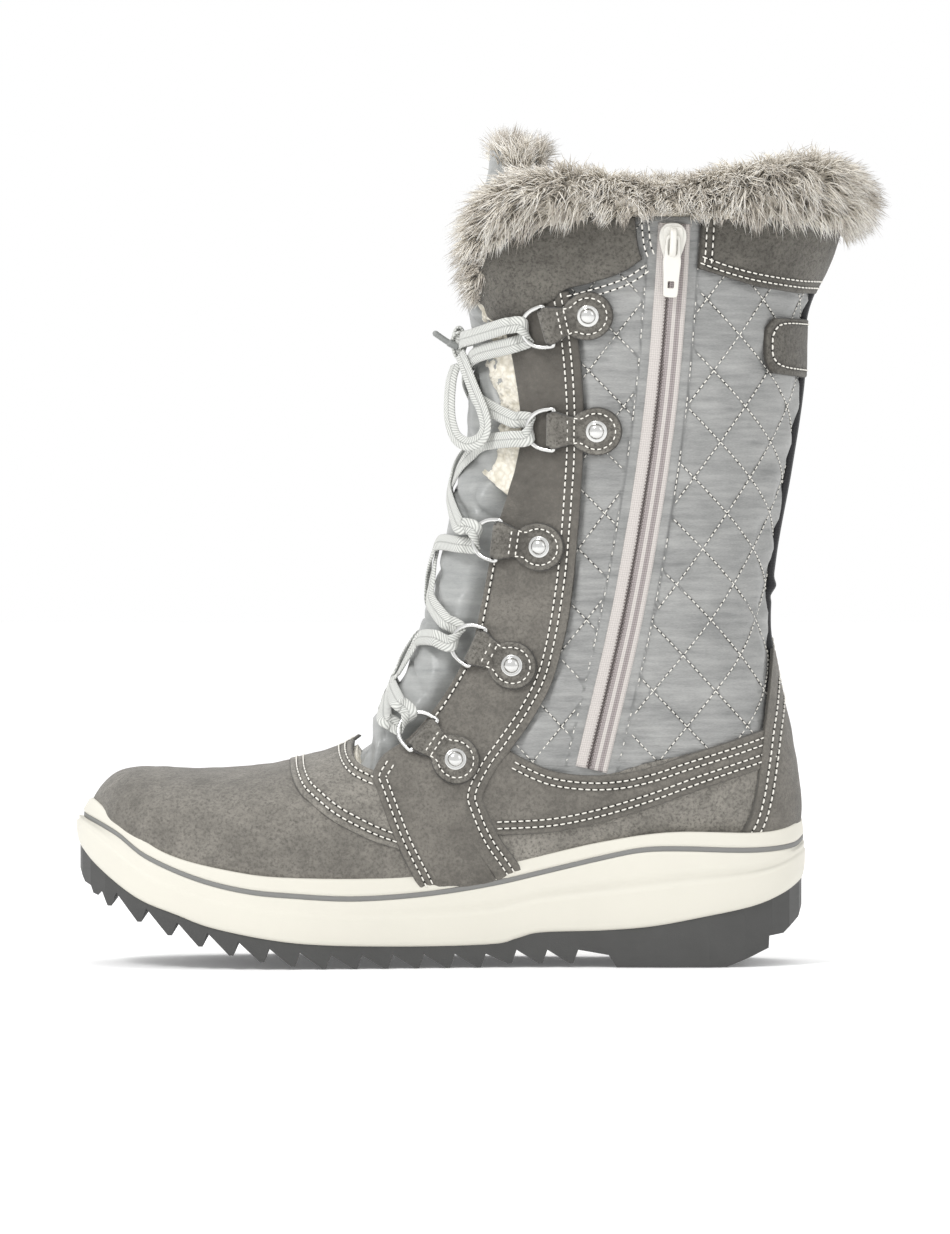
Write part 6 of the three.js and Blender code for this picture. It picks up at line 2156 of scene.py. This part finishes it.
@dataclass
class Fur:
    """Fur roll round the collar and along the tongue's top."""

    finish: Finishes
    rows: list = field(default_factory=lambda: [
        [78.5, 255, 3, 6.5], [79, 266, 6.5, 8], [77, 278, 9, 10], [66, 288, 11.5, 14],
        [48, 291.5, 10.5, 13], [26, 291.5, 8.5, 10], [10, 291.5, 5.5, 8], [-6, 292, 9, 10.5],
        [-26, 293.5, 12, 12], [-44, 294.5, 13, 14],
    ])
    thick: float = 9.0
    inner_coat: Coat = Coat(10800, 1.12, 0.42, 300, 0.26, 5)
    outer_coat: Coat = Coat(10400, 1.12, 0.36, 300, 0.26, 6)
    tongue_coat: Coat = Coat(4000, 15.0, 0.25, 90, 0.26, 23)

    def spine(self) -> Array:
        """Fine path of the roll: section, angle and half height, from the inner flap to the outer."""
        table = np.array(self.rows)
        spot = LAST.locate(table[:, :2])
        inner = np.column_stack([spot, table[:, 2:]])
        outer = inner * [1, -1, 1, 0.85] + [0, 2 * math.pi, 0, 0]
        outer[6, 2:] = 10.5, 11.0
        back = np.array([[float(LAST.locate([[-56, 291]])[0, 0]), math.pi, 13.0, 11.0]])
        whole = np.vstack([inner, back, outer[::-1]])
        skin = LAST.skin(whole[:, 0], whole[:, 1])
        key = rail(np.hstack([skin, whole * [4, 8, 1, 1]]), 260)
        return key[:, 3:] / [4, 8, 1, 1]

    def frames(self) -> tuple[Array, Array, Array, Array, Array, Array]:
        """Middle, out, up, thickness, half height and length of fur along the roll."""
        path = self.spine()
        middle = LAST.at(path[:, 0], path[:, 1], -0.5)
        way = unit(np.gradient(middle, axis=0))
        out = LAST.normal(path[:, 0], path[:, 1])
        up = unit(np.cross(out, way))
        up = up * np.sign(up[:, 2:] + 1e-9)
        return middle, out, up, self.thick * np.minimum(path[:, 2] / 11, 1), path[:, 2], path[:, 3]

    def core(self) -> None:
        """Underfur: a lumpy roll that the strands stand on."""
        middle, out, up, thick, tall, _ = self.frames()
        turn = np.linspace(0, 2 * np.pi, 24, endpoint=False)[None]
        outward, upward = out[:, None], up[:, None]
        ring = (middle[:, None] + outward * (thick[:, None] * 0.8 * np.cos(turn))[..., None]
                + upward * (tall[:, None] * 0.82 * np.sin(turn))[..., None])
        lump = ripple(ring, 11, 81) * 0.7 + ripple(ring, 4.5, 82) * 0.35
        away = outward * np.cos(turn)[..., None] + upward * np.sin(turn)[..., None]
        ring = ring + away * lump[..., None]
        shape = tube(ring)
        count = len(shape.points)
        shape.marks = {"along": np.full(count, 0.2), "own": np.full(count, 0.5)}
        piece = shape.piece("fur_roll", self.finish.fur, "fur", replaces=["fur_collar"])

    def strands(self, name: str, low: float, high: float, coat: Coat) -> None:
        """Fur on part of the roll, from one fraction of its length to another."""
        rng = np.random.default_rng(coat.seed)
        middle, out, up, thick, tall, long = self.frames()
        spots_at = rng.uniform(low, high, coat.count) * (len(middle) - 1)
        pick = lambda values: read_off(values, np.arange(len(middle)), spots_at)
        m, o, u = pick(middle), unit(pick(out)), unit(pick(up))
        r, t = pick(thick[:, None]), pick(tall[:, None])
        angle = rng.uniform(-0.3 * np.pi, 1.12 * np.pi, coat.count)[:, None]
        c, w = np.cos(angle), np.sin(angle)
        roots = m + o * r * 0.8 * c + u * t * 0.82 * w
        normals = unit(o * c / r + u * w / t)
        flow = 0.22 * o + 0.12 * unit(np.cross(o, u))
        short = pick(long[:, None])[:, 0] * np.clip(0.6 + 0.5 * (w[:, 0] + 0.5), 0.5, 1)
        shape = coat.grown(roots, normals, flow, rng, short)
        shape.piece(name, self.finish.fur, "fur")

    def tongue_top(self) -> None:
        """Fur that lines the top of the tongue and stands above it."""
        coat = self.tongue_coat
        rng = np.random.default_rng(coat.seed)
        s = 21.0 + 0.55 * rng.random(coat.count) ** 0.6
        phi = rng.uniform(-1.0, 1.0, coat.count) * 0.78
        inside = rng.random(coat.count) < 0.5
        roots = LAST.at(s, phi, np.where(inside, -20.0, -12.5))
        normals = LAST.normal(s, phi) * np.where(inside, -0.7, 0.25)[:, None] + np.array([0, 0, 0.9])
        shape = coat.grown(roots, unit(normals), np.tile([-0.15, 0.0, 0.35], (coat.count, 1)), rng)
        shape.piece("tongue_fur", self.finish.fur, "fur")

    def build(self) -> None:
        """Makes the fur."""
        self.core()
        self.strands("collar_fur_medial", 0.0, 0.5, self.inner_coat)
        self.strands("collar_fur_lateral", 0.5, 1.0, self.outer_coat)
        self.tongue_top()


def main() -> None:
    """Builds the studio and every piece of the boot, in order."""
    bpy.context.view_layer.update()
    Studio().build()
    finish = Finishes()
    lacing = Lacing(finish)
    lacing.build()
    Sole(finish).build()
    Upper(finish).build()
    shaft = Shaft(finish)
    shaft.build()
    Tongue(finish, shaft).build()
    Hardware(finish, lacing).build()
    Zip(finish).build()
    Fur(finish).build()


if __name__ == "__main__":
    main()
